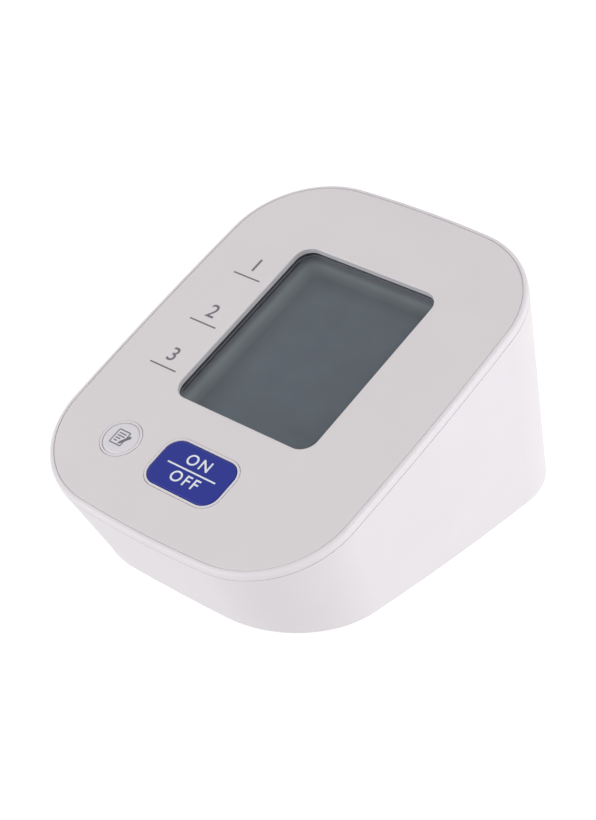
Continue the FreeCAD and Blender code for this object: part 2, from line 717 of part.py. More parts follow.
def lower_case():
    """The wedge-shaped tub with its battery well, bosses, ribs and openings."""
    def walls(name, grow, steps):
        body = doc.addObject("PartDesign::Body", name)
        sections = []
        for lift, inset in steps:
            ground = new_sketch(body, f"{name}_ground_{len(sections)}", f"foot_proud + {lift}")
            base_outline(ground, f"{grow} - {inset}")
            bind(ground, "AttachmentOffset.Base.y", BASE_Y)
            sections.append(ground)
        seam = new_sketch(body, name + "_seam")
        panel_outline(seam, f"rim_width + {grow}")
        seam.AttachmentOffset = Placement(Vector(), Rotation(Vector(1, 0, 0), SIZES["panel_tilt"]))
        bind(seam, "AttachmentOffset.Rotation.Angle", "panel_tilt")
        bind(seam, "AttachmentOffset.Base.y", f"{PANEL_Y} + {SEAM}*sin(panel_tilt)")
        bind(seam, "AttachmentOffset.Base.z", f"{PANEL_Z} - {SEAM}*cos(panel_tilt)")
        loft = body.newObject("PartDesign::AdditiveLoft", name + "_loft")
        loft.Profile = sections[0]
        loft.Sections = sections[1:] + [seam]
        loft.Ruled = True
        return body

    near = "base_round*(1 - cos(45))"
    outer = walls("lower_case_outer", "0", [("0", "base_round"), (near, near), ("base_round", "0")])
    core = walls("lower_case_core", "-wall", [("0", "0")])
    room = box("lower_case_room", "2*case_width", "2*case_length", "2*case_height", z=INNER_FLOOR)
    shell = cut("lower_case_shell", outer, [common("lower_case_hollow", core, room)])

    screws = screw_places()
    bosses, bores = [], []
    for index, (x, y) in enumerate(screws):
        low = f"-{POST_END} - 2*case_height"
        bosses.append(rod(f"case_boss_{index}", "case_boss_radius", "2*case_height - seat_gap", x, y, low))
        bores.append(rod(f"case_bore_{index}", "case_screw_head + counterbore_gap",
                         "2*case_height - case_boss_floor", x, y, low))
        bores.append(rod(f"case_shank_hole_{index}", "case_screw_radius + counterbore_gap",
                         "2*case_height + overrun", x, y, low))
    boss_set = on_panel(group("case_bosses", bosses))
    bore_set = on_panel(fuse("case_bores", bores))

    well_middle = f"({WELL_FRONT} - well_wall + {WELL_BACK} + well_hinge_wall)/2"
    well = box("well_block", f"{WELL_WIDTH} + 2*well_wall", f"{WELL_LENGTH} + well_wall + well_hinge_wall",
               f"{WELL_TOP} - foot_proud", y=well_middle, z="foot_proud")
    cradle_width = "2*(motor_radius + sleeve_thickness + cradle_margin)"
    rib_height = f"pump_height - {INNER_FLOOR}"
    ribs = [box(f"cradle_rib_{index}", "rib", cradle_width, rib_height, spot, PUMP_Y, INNER_FLOOR)
            for index, spot in enumerate(("pump_place_x + motor_rib_near", "pump_place_x + motor_rib_far",
                                          "pump_place_x - pump_rib_place"))]
    air_rib = box("air_rib", "rib", "air_rib_width", f"{AIR_Z} - {INNER_FLOOR}",
                  f"{AIR_X} + air_rib_place", AIR_Y, INNER_FLOOR)
    locators = []
    for side in ("-", "+"):
        locators.append(box(f"valve_locator_{len(locators)}", "valve_length/2", "rib", "locator_height",
                            f"{VALVE_X} - valve_length/2",
                            f"{AIR_Y} {side} (valve_side/2 + seat_gap + rib/2)", WELL_TOP))
        locators.append(box(f"dc_locator_{len(locators)}", "rib", "dc_depth/2", "locator_height",
                            f"dc_place_x {side} (dc_width/2 + seat_gap + rib/2)",
                            f"{DC_FACE} - dc_barrel_length - dc_depth*3/4", WELL_TOP))
    inside = common("lower_case_inside", fuse("lower_case_fittings",
                                              [boss_set, well, air_rib] + ribs + locators),
                    outer)

    below = "(foot_proud - overrun)"
    tools = [
        bore_set,
        box("well_space", WELL_WIDTH, WELL_LENGTH, f"{WELL_HIGH} - {below}",
            y=f"({WELL_FRONT} + {WELL_BACK})/2", z=below),
        place(padded("cover_recess", cover_outline, "cover_thickness + overrun"),
              y=f"({WELL_FRONT} + {WELL_BACK})/2", z=below),
        box("cover_recess_back", COVER_WIDTH, "2*cover_corner", "cover_thickness + overrun",
            y=f"{WELL_BACK} + cover_ledge - cover_corner", z=below),
        rod("cradle_bore", "motor_radius + sleeve_thickness + seat_gap", "motor_length + overrun",
            "pump_place_x", PUMP_Y, "pump_height", "x"),
        box("pump_notch", "pump_rib_place + overrun", "pump_side + 2*seat_gap", "pump_side",
            "pump_place_x - (pump_rib_place + overrun)/2", PUMP_Y, "pump_height - pump_side/2 - seat_gap"),
        rod("air_hole", "air_face_radius + air_hole_gap", "air_flange_radius",
            f"{AIR_X} - air_face_length", AIR_Y, AIR_Z, "x"),
        rod("air_notch", "air_body_radius + seat_gap", "air_body_length", AIR_X, AIR_Y, AIR_Z, "x"),
        rod("dc_hole", "dc_barrel_radius + air_hole_gap", "2*dc_barrel_length + overrun",
            "dc_place_x", f"{DC_FACE} - dc_barrel_length", DC_Z, "y"),
        box("cover_grip_notch", "cover_grip_width", "cover_grip_depth", "overrun + cover_thickness/2",
            y=f"{WELL_FRONT} - cover_ledge - cover_grip_depth/2", z=below),
    ]
    pin_span = f"({COVER_WIDTH} + 2*cover_pin_length)"
    tools.append(rod("cover_pin_holes", "cover_pin_radius + running_gap", pin_span, f"-{pin_span}/2",
                     COVER_AXIS_Y, COVER_AXIS_Z, "x"))
    for index in (0, COUNTS["cells"] - 1):
        tools.append(rod(f"wire_hole_{index}", "wire_radius + wire_hole_gap", "well_wall + 2*overrun",
                         cell_column(index), f"{WELL_FRONT} + overrun", WIRE_Z, "-y"))
    for index, (x, y) in enumerate(foot_places()):
        tools.append(rod(f"foot_recess_{index}", "foot_radius + seat_gap", "foot_sunk + overrun", x, y,
                         below))
    body = fuse("lower_case_body", [shell, inside])
    node(cut("lower_case", body, tools), "lower_case")


def screw_places():
    """The case screws' places on the panel."""
    return [(f"{side}(case_width/2 - case_screw_{row}_side)",
             f"{way}(faceplate_length/2 - case_screw_{row}_inset)")
            for row, way in (("front", "-"), ("back", "+")) for side in ("-", "+")]


def foot_places():
    """The feet's places on the ground."""
    rows = (("front", f"case_length/2 - {BASE_LENGTH} + foot_front_inset"),
            ("back", "case_length/2 - foot_back_inset"))
    return [(f"{side}({BASE_WIDTH}/2 - foot_{row}_side)", y) for row, y in rows for side in ("-", "+")]


# Panel side

def upper_case():
    """The rim and deck that carry the faceplate, the window, the keys and the board."""
    body = doc.addObject("PartDesign::Body", "upper_case")
    tongue_end = f"{DECK_UNDER} + tongue_depth"
    rim = new_sketch(body, "rim", "-seam_depth")
    panel_outline(rim, "rim_width")
    soften(body, pad(body, rim, "seam_depth"), "rim_round", at_height("0"))
    tongue = new_sketch(body, "tongue", f"-({tongue_end})")
    panel_outline(tongue, f"rim_width - wall - tongue_gap")
    pad(body, tongue, f"{tongue_end} - faceplate_thickness")
    hollow = new_sketch(body, "deck_hollow", f"-({tongue_end})")
    panel_outline(hollow, f"rim_width - wall - tongue_gap - tongue_width")
    pocket(body, hollow, "tongue_depth", up=True)
    seat = new_sketch(body, "faceplate_seat")
    panel_outline(seat, "faceplate_gap")
    pocket(body, seat, "faceplate_thickness")
    collars = new_sketch(body, "key_collars", "-faceplate_thickness")
    key_outlines(collars, "key_gap + collar_width")
    pad(body, collars, "faceplate_thickness + collar_proud")
    wells = new_sketch(body, "key_wells", "collar_proud")
    key_outlines(wells, "key_gap")
    pocket(body, wells, f"collar_proud + {DECK_UNDER} + overrun")
    lens_seat = new_sketch(body, "lens_seat", "-faceplate_thickness")
    window_outline(lens_seat, "lens_margin + seat_gap")
    pocket(body, lens_seat, "lens_gap + lens_thickness")
    opening = new_sketch(body, "deck_window", "-faceplate_thickness")
    window_outline(opening, "deck_window_margin")
    pocket(body, opening, "deck_thickness + overrun")
    posts = new_sketch(body, "board_posts", f"-{DECK_UNDER}")
    for x, y in board_posts():
        add_circle(posts, "board_post_radius", x, y)
    pad(body, posts, "board_drop", down=True)
    case_posts = new_sketch(body, "case_posts", f"-{DECK_UNDER}")
    for x, y in screw_places():
        add_circle(case_posts, "case_post_radius", x, y)
    pad(body, case_posts, "case_post_length", down=True)
    pilots = new_sketch(body, "board_pilots", f"-{BOARD_TOP}")
    for x, y in board_posts():
        add_circle(pilots, "board_screw_radius + screw_gap", x, y)
    pocket(body, pilots, "board_drop", up=True)
    case_pilots = new_sketch(body, "case_pilots", f"-{POST_END}")
    for x, y in screw_places():
        add_circle(case_pilots, "case_screw_radius + screw_gap", x, y)
    pocket(body, case_pilots, "case_post_length", up=True)
    node(on_panel(body), "upper_case")


def board_posts():
    """The board posts' places on the panel."""
    return [(f"{side}({BOARD_WIDTH}/2 - board_post_inset)", y)
            for y in (POST_FRONT, POST_BACK) for side in ("-", "+")]


def faceplate():
    """The grey plate let into the rim, with the window and the key holes."""
    body = padded("faceplate", panel_outline, "faceplate_thickness", "-faceplate_thickness")
    soften(body, body.Tip, "faceplate_round", at_height("0"))
    window = new_sketch(body, "faceplate_window")
    window_outline(window)
    opening = pocket(body, window, "faceplate_thickness + overrun")
    slack = Part.Precision.approximation()
    half_width, middle = value("window_width/2") + slack, value("window_centre")
    reach = value("window_length/2") + slack
    flat = at_height("0")

    def on_window(edge):
        centre = edge.BoundBox.Center
        return flat(edge) and abs(centre.x) < half_width and abs(centre.y - middle) < reach

    soften(body, opening, "window_round", on_window)
    keys = new_sketch(body, "faceplate_key_holes")
    key_outlines(keys, "key_gap + collar_width + faceplate_gap")
    pocket(body, keys, "faceplate_thickness + overrun")
    node(on_panel(body), "faceplate")


def display():
    """The lens, the display glass, its holder and its connector strips."""
    lens = padded("window_lens", lambda sketch: window_outline(sketch, "lens_margin"), "lens_thickness",
                  "-(faceplate_thickness + lens_gap + lens_thickness)")
    node(on_panel(lens), "window_lens")
    back = box("lcd_back", LCD_WIDTH, LCD_LENGTH, "lcd_back_thickness", y="window_centre", z=f"-{LCD_UNDER}")
    front = box("lcd_front", f"{LCD_WIDTH} - 2*lcd_ledge", LCD_LENGTH, "lcd_front_thickness",
                y="window_centre", z=f"-{LCD_UNDER} + lcd_back_thickness")
    node(on_panel(fuse("lcd_glass", [back, front])), "lcd_glass")
    block = box("lcd_frame_block", LCD_FRAME_WIDTH, LCD_FRAME_LENGTH, "board_drop",
                y="window_centre", z=f"-{BOARD_TOP}")
    bed = box("lcd_bed", f"{LCD_WIDTH} + 2*seat_gap", f"{LCD_LENGTH} + 2*seat_gap", "board_drop",
              y="window_centre", z=f"-{LCD_UNDER}")
    under = box("lcd_frame_under", f"{LCD_FRAME_WIDTH} - 2*lcd_frame_wall",
                f"{LCD_FRAME_LENGTH} - 2*lcd_frame_wall",
                f"{BOARD_TOP} - {LCD_UNDER} - lcd_frame_plate + overrun", y="window_centre",
                z=f"-{BOARD_TOP} - overrun")
    slots, strips = [], []
    strip_length = f"({LCD_LENGTH} - 2*strip_end_inset)"
    for side in ("-", "+"):
        x = f"{side}({LCD_WIDTH}/2 - strip_inset)"
        slots.append(box(f"strip_slot_{len(slots)}", "strip_width + 2*seat_gap",
                         f"{strip_length} + 2*seat_gap",
                         "board_drop", x, "window_centre", f"-{BOARD_TOP}"))
        strips.append(box(f"strip_{len(strips)}", "strip_width", strip_length, f"{BOARD_TOP} - {LCD_UNDER}",
                          x, "window_centre", f"-{BOARD_TOP}"))
    node(on_panel(cut("lcd_frame", block, [bed, under] + slots)), "lcd_frame")
    node(on_panel(group("lcd_connector_strips", strips)), "lcd_connector_strips")


def key(label, outline, x):
    """A hollow key with a rim below the deck and a plunger over its switch."""
    rim_top = f"({DECK_UNDER} + key_gap)"
    rim_under = f"({rim_top} + key_flange_thickness)"
    body = doc.addObject("PartDesign::Body", label)
    cap = new_sketch(body, label + "_cap", f"-{rim_top}")
    outline(cap)
    soften(body, pad(body, cap, f"{rim_top} + key_proud"), "key_round", at_height("key_proud"))
    flange = new_sketch(body, label + "_flange", f"-{rim_top}")
    outline(flange, "key_flange")
    pad(body, flange, "key_flange_thickness", down=True)
    hollow = new_sketch(body, label + "_hollow", f"-{rim_under}")
    outline(hollow, "-key_wall")
    pocket(body, hollow, f"{rim_under} + key_proud - key_top", up=True)
    plunger = new_sketch(body, label + "_plunger", f"-{STEM_TOP} + seat_gap")
    add_circle(plunger, "key_plunger_radius", x, KEY_ROW)
    pad(body, plunger, f"{STEM_TOP} - seat_gap + key_proud - key_top")
    node(on_panel(body), label)


def push_switch(label, x):
    """A board switch below a key, with the stem that the key presses."""
    block = box(label + "_block", "switch_side", "switch_side", "switch_height", x, KEY_ROW, f"-{BOARD_TOP}")
    hole = rod(label + "_hole", "stem_radius + running_gap", "switch_height", x, KEY_ROW,
               f"-{BOARD_TOP} + stem_floor")
    node(on_panel(cut(label, block, [hole])), label)
    foot = f"-{BOARD_TOP} + stem_floor + key_travel + seat_gap"
    stem = padded(label + "_stem", lambda sketch: add_circle(sketch, "stem_radius", x, KEY_ROW),
                  f"-{STEM_TOP} - ({foot})", foot)
    node(on_panel(stem), label + "_stem")


def board():
    """The board with its chips, capacitors, headers, buzzer, sensor and screws."""
    length, middle = f"{BOARD_BACK} - {BOARD_FRONT}", f"({BOARD_BACK} + {BOARD_FRONT})/2"
    plate = padded("main_board",
                   lambda sketch: add_rounded(sketch, BOARD_WIDTH, length, "board_corner", y=middle),
                   "board_thickness", f"-{BOARD_UNDER}")
    holes = new_sketch(plate, "board_holes", f"-{BOARD_TOP}")
    for x, y in board_posts():
        add_circle(holes, "board_screw_radius + counterbore_gap", x, y)
    pocket(plate, holes, "board_thickness + overrun")
    node(on_panel(plate), "main_board")
    chips = [
        box("controller", "chip_side", "chip_side", "chip_height", "0", "-chip_side",
            f"-{BOARD_UNDER} - chip_height"),
        box("memory_chip", "small_chip_width", "small_chip_length", "chip_height", "-chip_side", "-chip_side",
            f"-{BOARD_UNDER} - chip_height"),
        box("driver_chip", "small_chip_width", "small_chip_length", "chip_height", "chip_side", "-chip_side",
            f"-{BOARD_UNDER} - chip_height"),
    ]
    node(on_panel(group("board_chips", chips)), "board_chips")
    cans = [rod(f"capacitor_{row}", "capacitor_radius", "capacitor_height", "chip_side + capacitor_radius",
                f"{row}*3*capacitor_radius + chip_side", f"-{BOARD_UNDER}", "-z") for row in range(2)]
    node(on_panel(group("board_capacitors", cans)), "board_capacitors")
    headers = []
    for column in (-1, 0, 1):
        x, y = header_column(column), HEADER_ROW
        low = f"-{BOARD_UNDER} - header_height"
        shell = box(f"header_shell_{column + 1}", "header_width", "header_length", "header_height", x, y, low)
        space = box(f"header_space_{column + 1}", "header_width - 2*header_wall",
                    "header_length - 2*header_wall",
                    "header_height - header_wall + overrun", x, y, f"{low} - overrun")
        headers.append(cut(f"header_{column + 1}", shell, [space]))
    node(on_panel(group("wire_headers", headers)), "wire_headers")
    buzz = turned("buzzer_can", [("buzzer_hole", "0"), ("buzzer_radius", "0"),
                                 ("buzzer_radius", "buzzer_height"),
                             ("0", "buzzer_height"), ("0", "buzzer_height - buzzer_hole"),
                             ("buzzer_hole", "buzzer_height - buzzer_hole")])
    place(buzz, f"{BOARD_WIDTH}/4", f"{BOARD_BACK} - 4*header_length", f"-{BOARD_UNDER} - buzzer_height")
    node(on_panel(group("buzzer", [buzz])), "buzzer")
    x = f"{AIR_X} + air_sensor_port"
    can = box("sensor_can", "sensor_side", "sensor_side", "sensor_height", x, AIR_V,
              f"-{BOARD_UNDER} - sensor_height")
    nipple = rod("sensor_nipple", "nipple_radius", "nipple_length", x, AIR_V,
                 f"-{BOARD_UNDER} - sensor_height", "-z")
    bore = rod("sensor_bore", "nipple_bore", "nipple_length + sensor_height/2", x, AIR_V,
               f"-{BOARD_UNDER} - sensor_height - nipple_length")
    node(on_panel(cut("pressure_sensor", fuse("sensor_body", [can, nipple]), [bore])), "pressure_sensor")
    screws = [screw(f"board_screw_{index}", "board_screw", x, y, f"-{BOARD_UNDER}")
              for index, (x, y) in enumerate(board_posts())]
    node(on_panel(group("board_screws", screws)), "board_screws")


def header_column(column):
    """The place of a wire header across the board."""
    return f"({column}*2*header_width)"


def screw(name, kind, x, y, seat):
    """A screw whose head sits below a seat, with its shank pointing up."""
    head, height = f"{kind}_head", f"{kind}_head_height"
    shank, length = f"{kind}_radius", f"{kind}_length"
    body = turned(name, [("0", f"-{height}/2"), (f"{shank}*2/3", f"-{height}/2"),
                         (f"{shank}*2/3", f"-{height}"),
                         (head, f"-{height}"), (head, "0"), (shank, "0"), (shank, f"{length} - {shank}"),
                         (f"{shank}/2", length), ("0", length)])
    return place(body, x, y, seat)


def case_screws():
    """The four screws that hold the two shells together."""
    seat = f"-{POST_END} - case_boss_floor"
    screws = [screw(f"case_screw_{index}", "case_screw", x, y, seat)
              for index, (x, y) in enumerate(screw_places())]
    node(on_panel(group("case_screws", screws)), "case_screws")


def feet():
    """The four rubber feet in their recesses."""
    for index, (x, y) in enumerate(foot_places(), start=1):
        foot = turned(f"rubber_foot_{index}", [("0", "0"), ("foot_radius - foot_proud", "0"),
                                               ("foot_radius", "foot_proud"),
                                               ("foot_radius", "foot_proud + foot_sunk"),
                                               ("0", "foot_proud + foot_sunk")])
        node(place(foot, x, y), f"rubber_foot_{index}")


# Battery compartment

def cell_column(index):
    """The place of a cell across the compartment."""
    return f"({index} - {COUNTS['cells'] - 1}/2)*(2*cell_radius + cell_gap)"


def batteries():
    """Four cells side by side, turned end for end, with their contacts."""
    springs = []
    for index in range(COUNTS["cells"]):
        back = index % 2 == 0
        cell = turned(f"battery_cell_{index + 1}", [
            ("0", "0"), ("cell_radius - cell_edge", "0"), ("cell_radius", "cell_edge"),
            ("cell_radius", "cell_body - cell_edge"), ("cell_radius - cell_edge", "cell_body"),
            ("cell_cap_radius", "cell_body"), ("cell_cap_radius", "cell_body + cell_cap_height"),
            ("0", "cell_body + cell_cap_height")])
        foot = "(contact_thickness + battery_spring_length + seat_gap)"
        y = f"{WELL_FRONT} + {foot}" if back else f"{WELL_BACK} - {foot}"
        node(place(cell, cell_column(index), y, CELL_Z, "y" if back else "-y"), f"battery_cell_{index + 1}")
        spring = coil(f"battery_spring_{index}", "battery_spring_radius", "battery_spring_top",
                      "battery_spring_wire", "battery_spring_length", COUNTS["battery_spring_turns"])
        y = f"{WELL_FRONT} + contact_thickness" if back else f"{WELL_BACK} - contact_thickness"
        springs.append(place(spring, cell_column(index), y, CELL_Z, "y" if back else "-y"))
    node(group("battery_springs", springs), "battery_springs")
    plates = []
    for end, pairs in (("front", ((0, 0), (1, 2), (3, 3))), ("back", ((0, 1), (2, 3)))):
        for first, last in pairs:
            middle = f"({cell_column(first)} + {cell_column(last)})/2"
            width = f"contact_width + {last - first}*(2*cell_radius + cell_gap)"
            y = f"{WELL_FRONT} + contact_thickness/2"
            if end == "back":
                y = f"{WELL_BACK} - contact_thickness/2"
            plates.append(box(f"contact_{end}_{first}", width, "contact_thickness", "contact_height",
                              middle, y, f"{CELL_Z} - contact_height/2"))
    node(group("battery_plates", plates), "battery_plates")


def biarc(start, start_way, end, end_way):
    """Two arcs that join two points smoothly along given directions."""
    span = end - start
    ways = start_way + end_way
    turn = 2*(1 - start_way.dot(end_way))
    lean = span.dot(ways)
    reach = (math.sqrt(lean**2 + turn*span.dot(span)) - lean)/turn
    meet = (start + end + (start_way - end_way)*reach)*0.5
    arcs = []
    for first, way, last in ((start, start_way, meet), (end, end_way*-1, meet)):
        apex = first + way*reach
        chord_middle = (first + last)*0.5
        angle = (last - first).getAngle(way)
        crown = chord_middle + (apex - chord_middle)*(math.tan(angle/2)/math.tan(angle))
        points = (first, crown, last) if first == start else (last, crown, first)
        arcs.append(Part.Arc(*points).toShape())
    return arcs


def coil(name, radius, end_radius, wire, length, turns):
    """A spring of round wire that climbs along its own Z, drawn by quarter turns of two arcs."""
    wide, narrow, thick, tall = value(radius), value(end_radius), value(wire), value(length)
    rise = (tall - 2*thick)/turns/(2*math.pi)
    shrink = (narrow - wide)/turns/(2*math.pi)

    def point(angle):
        reach = wide + shrink*angle
        return Vector(reach*math.cos(angle), reach*math.sin(angle), thick + rise*angle)

    def way(angle):
        reach = wide + shrink*angle
        return Vector(shrink*math.cos(angle) - reach*math.sin(angle),
                      shrink*math.sin(angle) + reach*math.cos(angle), rise).normalize()

    edges = []
    for quarter in range(4*turns):
        first, last = quarter*math.pi/2, (quarter + 1)*math.pi/2
        edges += biarc(point(first), way(first), point(last), way(last))
    path = Part.Wire(edges)
    spots = [point(step*math.pi/8) for step in range(16*turns + 1)]
    least = min((late - early).Length for index, early in enumerate(spots) for late in spots[index + 8:])
    print(name, "least gap to itself", round(least - 2*thick, 2))
    ring = Part.Wire(Part.Circle(point(0), way(0), thick).toShape())
    solid = path.makePipeShell([ring], True, False)
    item = doc.addObject("Part::Feature", name)
    item.Shape = solid
    return item


def battery_cover():
    """The flush cover that turns on two pins at its round back edge, with a latch at its front edge."""
    width = f"({COVER_WIDTH} - 2*cover_gap)"
    plate = place(padded("cover_plate", lambda sketch: cover_outline(sketch, "-cover_gap"), f"2*{COVER_END}"),
                  y=f"({WELL_FRONT} + {WELL_BACK})/2", z="foot_proud")
    trim = box("cover_trim", COVER_WIDTH, "2*cover_corner", "2*cover_thickness",
               y=f"{COVER_AXIS_Y} + cover_corner")
    back = box("cover_back", width, "2*cover_corner", f"2*{COVER_END}", y=f"{COVER_AXIS_Y} - cover_corner",
               z="foot_proud")
    pin_span = f"({width} + 2*cover_pin_length)"
    pieces = [
        cut("cover_front", plate, [trim]), back,
        rod("cover_round_edge", COVER_END, width, f"-{width}/2", COVER_AXIS_Y, COVER_AXIS_Z, "x"),
        rod("cover_pins", "cover_pin_radius", pin_span, f"-{pin_span}/2", COVER_AXIS_Y, COVER_AXIS_Z, "x"),
        box("cover_latch", "cover_latch_width", "cover_latch_thickness", "cover_latch_height",
            y=f"{WELL_FRONT} + cover_gap + cover_latch_thickness/2", z="foot_proud"),
    ]
    node(fuse("battery_cover", pieces), "battery_cover")


# Motor and pump, drawn along the shaft with 0 on the motor's face

def motor():
    """The motor with its end cap, terminals, rubber sleeve and shaft."""
    bore = "shaft_radius + running_gap"
    can = turned("motor_can", [
        (bore, "-motor_length"), ("motor_radius", "-motor_length"), ("motor_radius", "-motor_edge"),
        ("motor_radius - motor_edge", "0"), ("motor_boss_radius", "0"),
        ("motor_boss_radius", "motor_boss_height"), (bore, "motor_boss_height")])
    node(on_pump(can), "motor_can")
    low = "-(motor_length + motor_cap_height)"
    cap = turned("motor_end_cap_disc", [(bore, low), ("motor_cap_radius", low),
                                        ("motor_cap_radius", "-motor_length"),
                                        (bore, "-motor_length")])
    slots, tabs = [], []
    for side in ("-", "+"):
        y = f"{side}motor_terminal_place"
        slots.append(box(f"terminal_slot_{len(slots)}", "motor_terminal_width + 2*seat_gap",
                         "motor_terminal_thickness + 2*seat_gap", "motor_cap_height + overrun", "0", y,
                         f"{low} - overrun"))
        tabs.append(box(f"terminal_{len(tabs)}", "motor_terminal_width", "motor_terminal_thickness",
                        "motor_terminal_length + motor_cap_height", "0", y, f"{low} - motor_terminal_length"))
    node(on_pump(cut("motor_end_cap", cap, slots)), "motor_end_cap")
    node(on_pump(group("motor_terminals", tabs)), "motor_terminals")
    inner, outer = "motor_radius + seat_gap", "motor_radius + sleeve_thickness"
    far = "-(sleeve_start + sleeve_length)"
    sleeve = turned("motor_sleeve", [(inner, far), (outer, far), (outer, "-sleeve_start"),
                                     (inner, "-sleeve_start")])
    node(on_pump(sleeve), "motor_sleeve")
    tail = "-(motor_length + motor_cap_height + shaft_tail)"
    shaft = turned("motor_shaft", [("0", tail), ("shaft_radius", tail), ("shaft_radius", "shaft_nose"),
                                   ("0", "shaft_nose")])
    node(on_pump(shaft), "motor_shaft")


def pump():
    """The wobble-plate pump: crank, drive plate, diaphragm and the stack that encloses them."""
    slant = "atan(crank_offset/(drive_pivot - crank_start - crank_length + drive_pin_depth/2))"
    crank_top = "crank_start + crank_length"
    hub = turned("pump_crank_hub", [("shaft_radius + seat_gap", "crank_start"),
                                    ("crank_radius", "crank_start"),
                                    ("crank_radius", crank_top), ("0", crank_top),
                                    ("0", "shaft_nose + seat_gap"),
                                    ("shaft_radius + seat_gap", "shaft_nose + seat_gap")])

    def slanted(item):
        item.Placement = Placement(Vector(), Rotation(Vector(0, 1, 0), value(slant)))
        bind(item, "Placement.Rotation.Angle", slant)
        bind(item, "Placement.Base.z", "drive_pivot")
        return item

    pin_end = f"-(drive_pivot - ({crank_top}) + drive_pin_depth)"
    pin_hole = slanted(rod("drive_pin_hole_rod", "drive_pin_radius + running_gap", "drive_pivot"))
    bind(pin_hole, "Placement.Base.z", f"drive_pivot + ({pin_end} - seat_gap)*cos({slant})")
    bind(pin_hole, "Placement.Base.x", f"({pin_end} - seat_gap)*sin({slant})")
    node(on_pump(cut("pump_crank", hub, [pin_hole])), "pump_crank")

    low = "drive_plate_place - drive_pivot - drive_plate_thickness/2"
    pieces = [rod("drive_hub", "drive_hub_radius", "drive_plate_thickness", z=low),
              rod("drive_pin", "drive_pin_radius", f"drive_plate_place - drive_pivot - ({pin_end})",
                  z=pin_end)]
    holes, stems, cups = [], [], []
    for cup in range(COUNTS["pump_cups"]):
        angle = f"({cup}*360/{COUNTS['pump_cups']})"
        x, y = f"drive_arm_radius*cos({angle})", f"drive_arm_radius*sin({angle})"
        pieces.append(rod(f"drive_eye_{cup}", "drive_arm_width/2", "drive_plate_thickness", x, y, low))
        arm = box(f"drive_arm_{cup}", "drive_arm_radius", "drive_arm_width/2", "drive_plate_thickness", z=low)
        arm.Placement = Placement(Vector(), Rotation(Vector(0, 0, 1), value(angle)))
        bind(arm, "Placement.Rotation.Angle", angle)
        bind(arm, "Placement.Base.x", f"drive_arm_width/4*sin({angle})")
        bind(arm, "Placement.Base.y", f"-drive_arm_width/4*cos({angle})")
        bind(arm, "Placement.Base.z", low)
        pieces.append(arm)
        holes.append(rod(f"drive_hole_{cup}", "drive_hole_radius", "drive_plate_thickness + 2*overrun", x, y,
                         f"{low} - overrun"))
        stems.append(rod(f"diaphragm_stem_{cup}", "diaphragm_stem_radius", "diaphragm_stem_length", x, y,
                         "pump_chamber", "-z"))
        cups.append((x, y))
    plate = slanted(cut("drive_plate_flat", fuse("drive_plate_solid", pieces), holes))
    node(on_pump(group("pump_drive_plate", [plate])), "pump_drive_plate")

    def stack(name, low_text, thickness):
        return padded(name, lambda sketch: add_rounded(sketch, "pump_side", "pump_side", "pump_corner"),
                      thickness, low_text)

    def corner_holes(body, name, top, depth, radius):
        sketch = new_sketch(body, name, top)
        for side_x in ("-", "+"):
            for side_y in ("-", "+"):
                add_circle(sketch, radius, f"{side_x}pump_screw_spread/2", f"{side_y}pump_screw_spread/2")
        pocket(body, sketch, depth)

    screw_hole = "pump_screw_radius + screw_gap"
    housing = stack("pump_housing", "0", "pump_chamber")
    chamber = new_sketch(housing, "pump_chamber_bore", "pump_chamber")
    add_circle(chamber, "pump_bore")
    pocket(housing, chamber, "pump_chamber - pump_floor")
    eye = new_sketch(housing, "pump_floor_hole", "pump_floor")
    add_circle(eye, "motor_boss_radius + seat_gap")
    pocket(housing, eye, "pump_floor + overrun")
    corner_holes(housing, "pump_housing_holes", "pump_chamber", "pump_chamber - pump_floor", screw_hole)
    node(on_pump(housing), "pump_housing")

    rubber = stack("diaphragm_sheet", "pump_chamber", "diaphragm_thickness")
    corner_holes(rubber, "diaphragm_holes", "pump_chamber + diaphragm_thickness",
                 "diaphragm_thickness + overrun", screw_hole)
    domes = [rod(f"diaphragm_cup_{index}", "diaphragm_cup_radius", "diaphragm_cup_height", x, y,
                 "pump_chamber + diaphragm_thickness") for index, (x, y) in enumerate(cups)]
    node(on_pump(fuse("pump_diaphragm", [rubber] + stems + domes)), "pump_diaphragm")

    plate_low = "pump_chamber + diaphragm_thickness"
    plate_top = f"{plate_low} + valve_plate_thickness"
    middle = stack("pump_valve_plate", plate_low, "valve_plate_thickness")
    pans = new_sketch(middle, "valve_plate_pans", plate_low)
    for x, y in cups:
        add_circle(pans, "diaphragm_cup_radius + seat_gap", x, y)
    pocket(middle, pans, "diaphragm_cup_height + 2*seat_gap", up=True)
    ports = new_sketch(middle, "valve_plate_ports", plate_top)
    for x, y in cups:
        add_circle(ports, "valve_port_radius", x, y)
    pocket(middle, ports, "valve_plate_thickness + overrun")
    corner_holes(middle, "valve_plate_holes", plate_top, "valve_plate_thickness + overrun", screw_hole)
    node(on_pump(middle), "pump_valve_plate")

    cover_top = f"{plate_top} + cover_plate_thickness"
    cover = stack("pump_cover", plate_top, "cover_plate_thickness")
    nipple = new_sketch(cover, "pump_nipple", cover_top)
    add_circle(nipple, "nipple_radius")
    pad(cover, nipple, "nipple_length")
    room = new_sketch(cover, "pump_cover_room", plate_top)
    add_circle(room, "cover_room_radius")
    pocket(cover, room, "cover_room_height", up=True)
    bore = new_sketch(cover, "pump_nipple_bore", f"{cover_top} + nipple_length")
    add_circle(bore, "nipple_bore")
    pocket(cover, bore, "nipple_length + cover_plate_thickness")
    corner_holes(cover, "pump_cover_holes", cover_top, "cover_plate_thickness + overrun", screw_hole)
    node(on_pump(cover), "pump_cover")

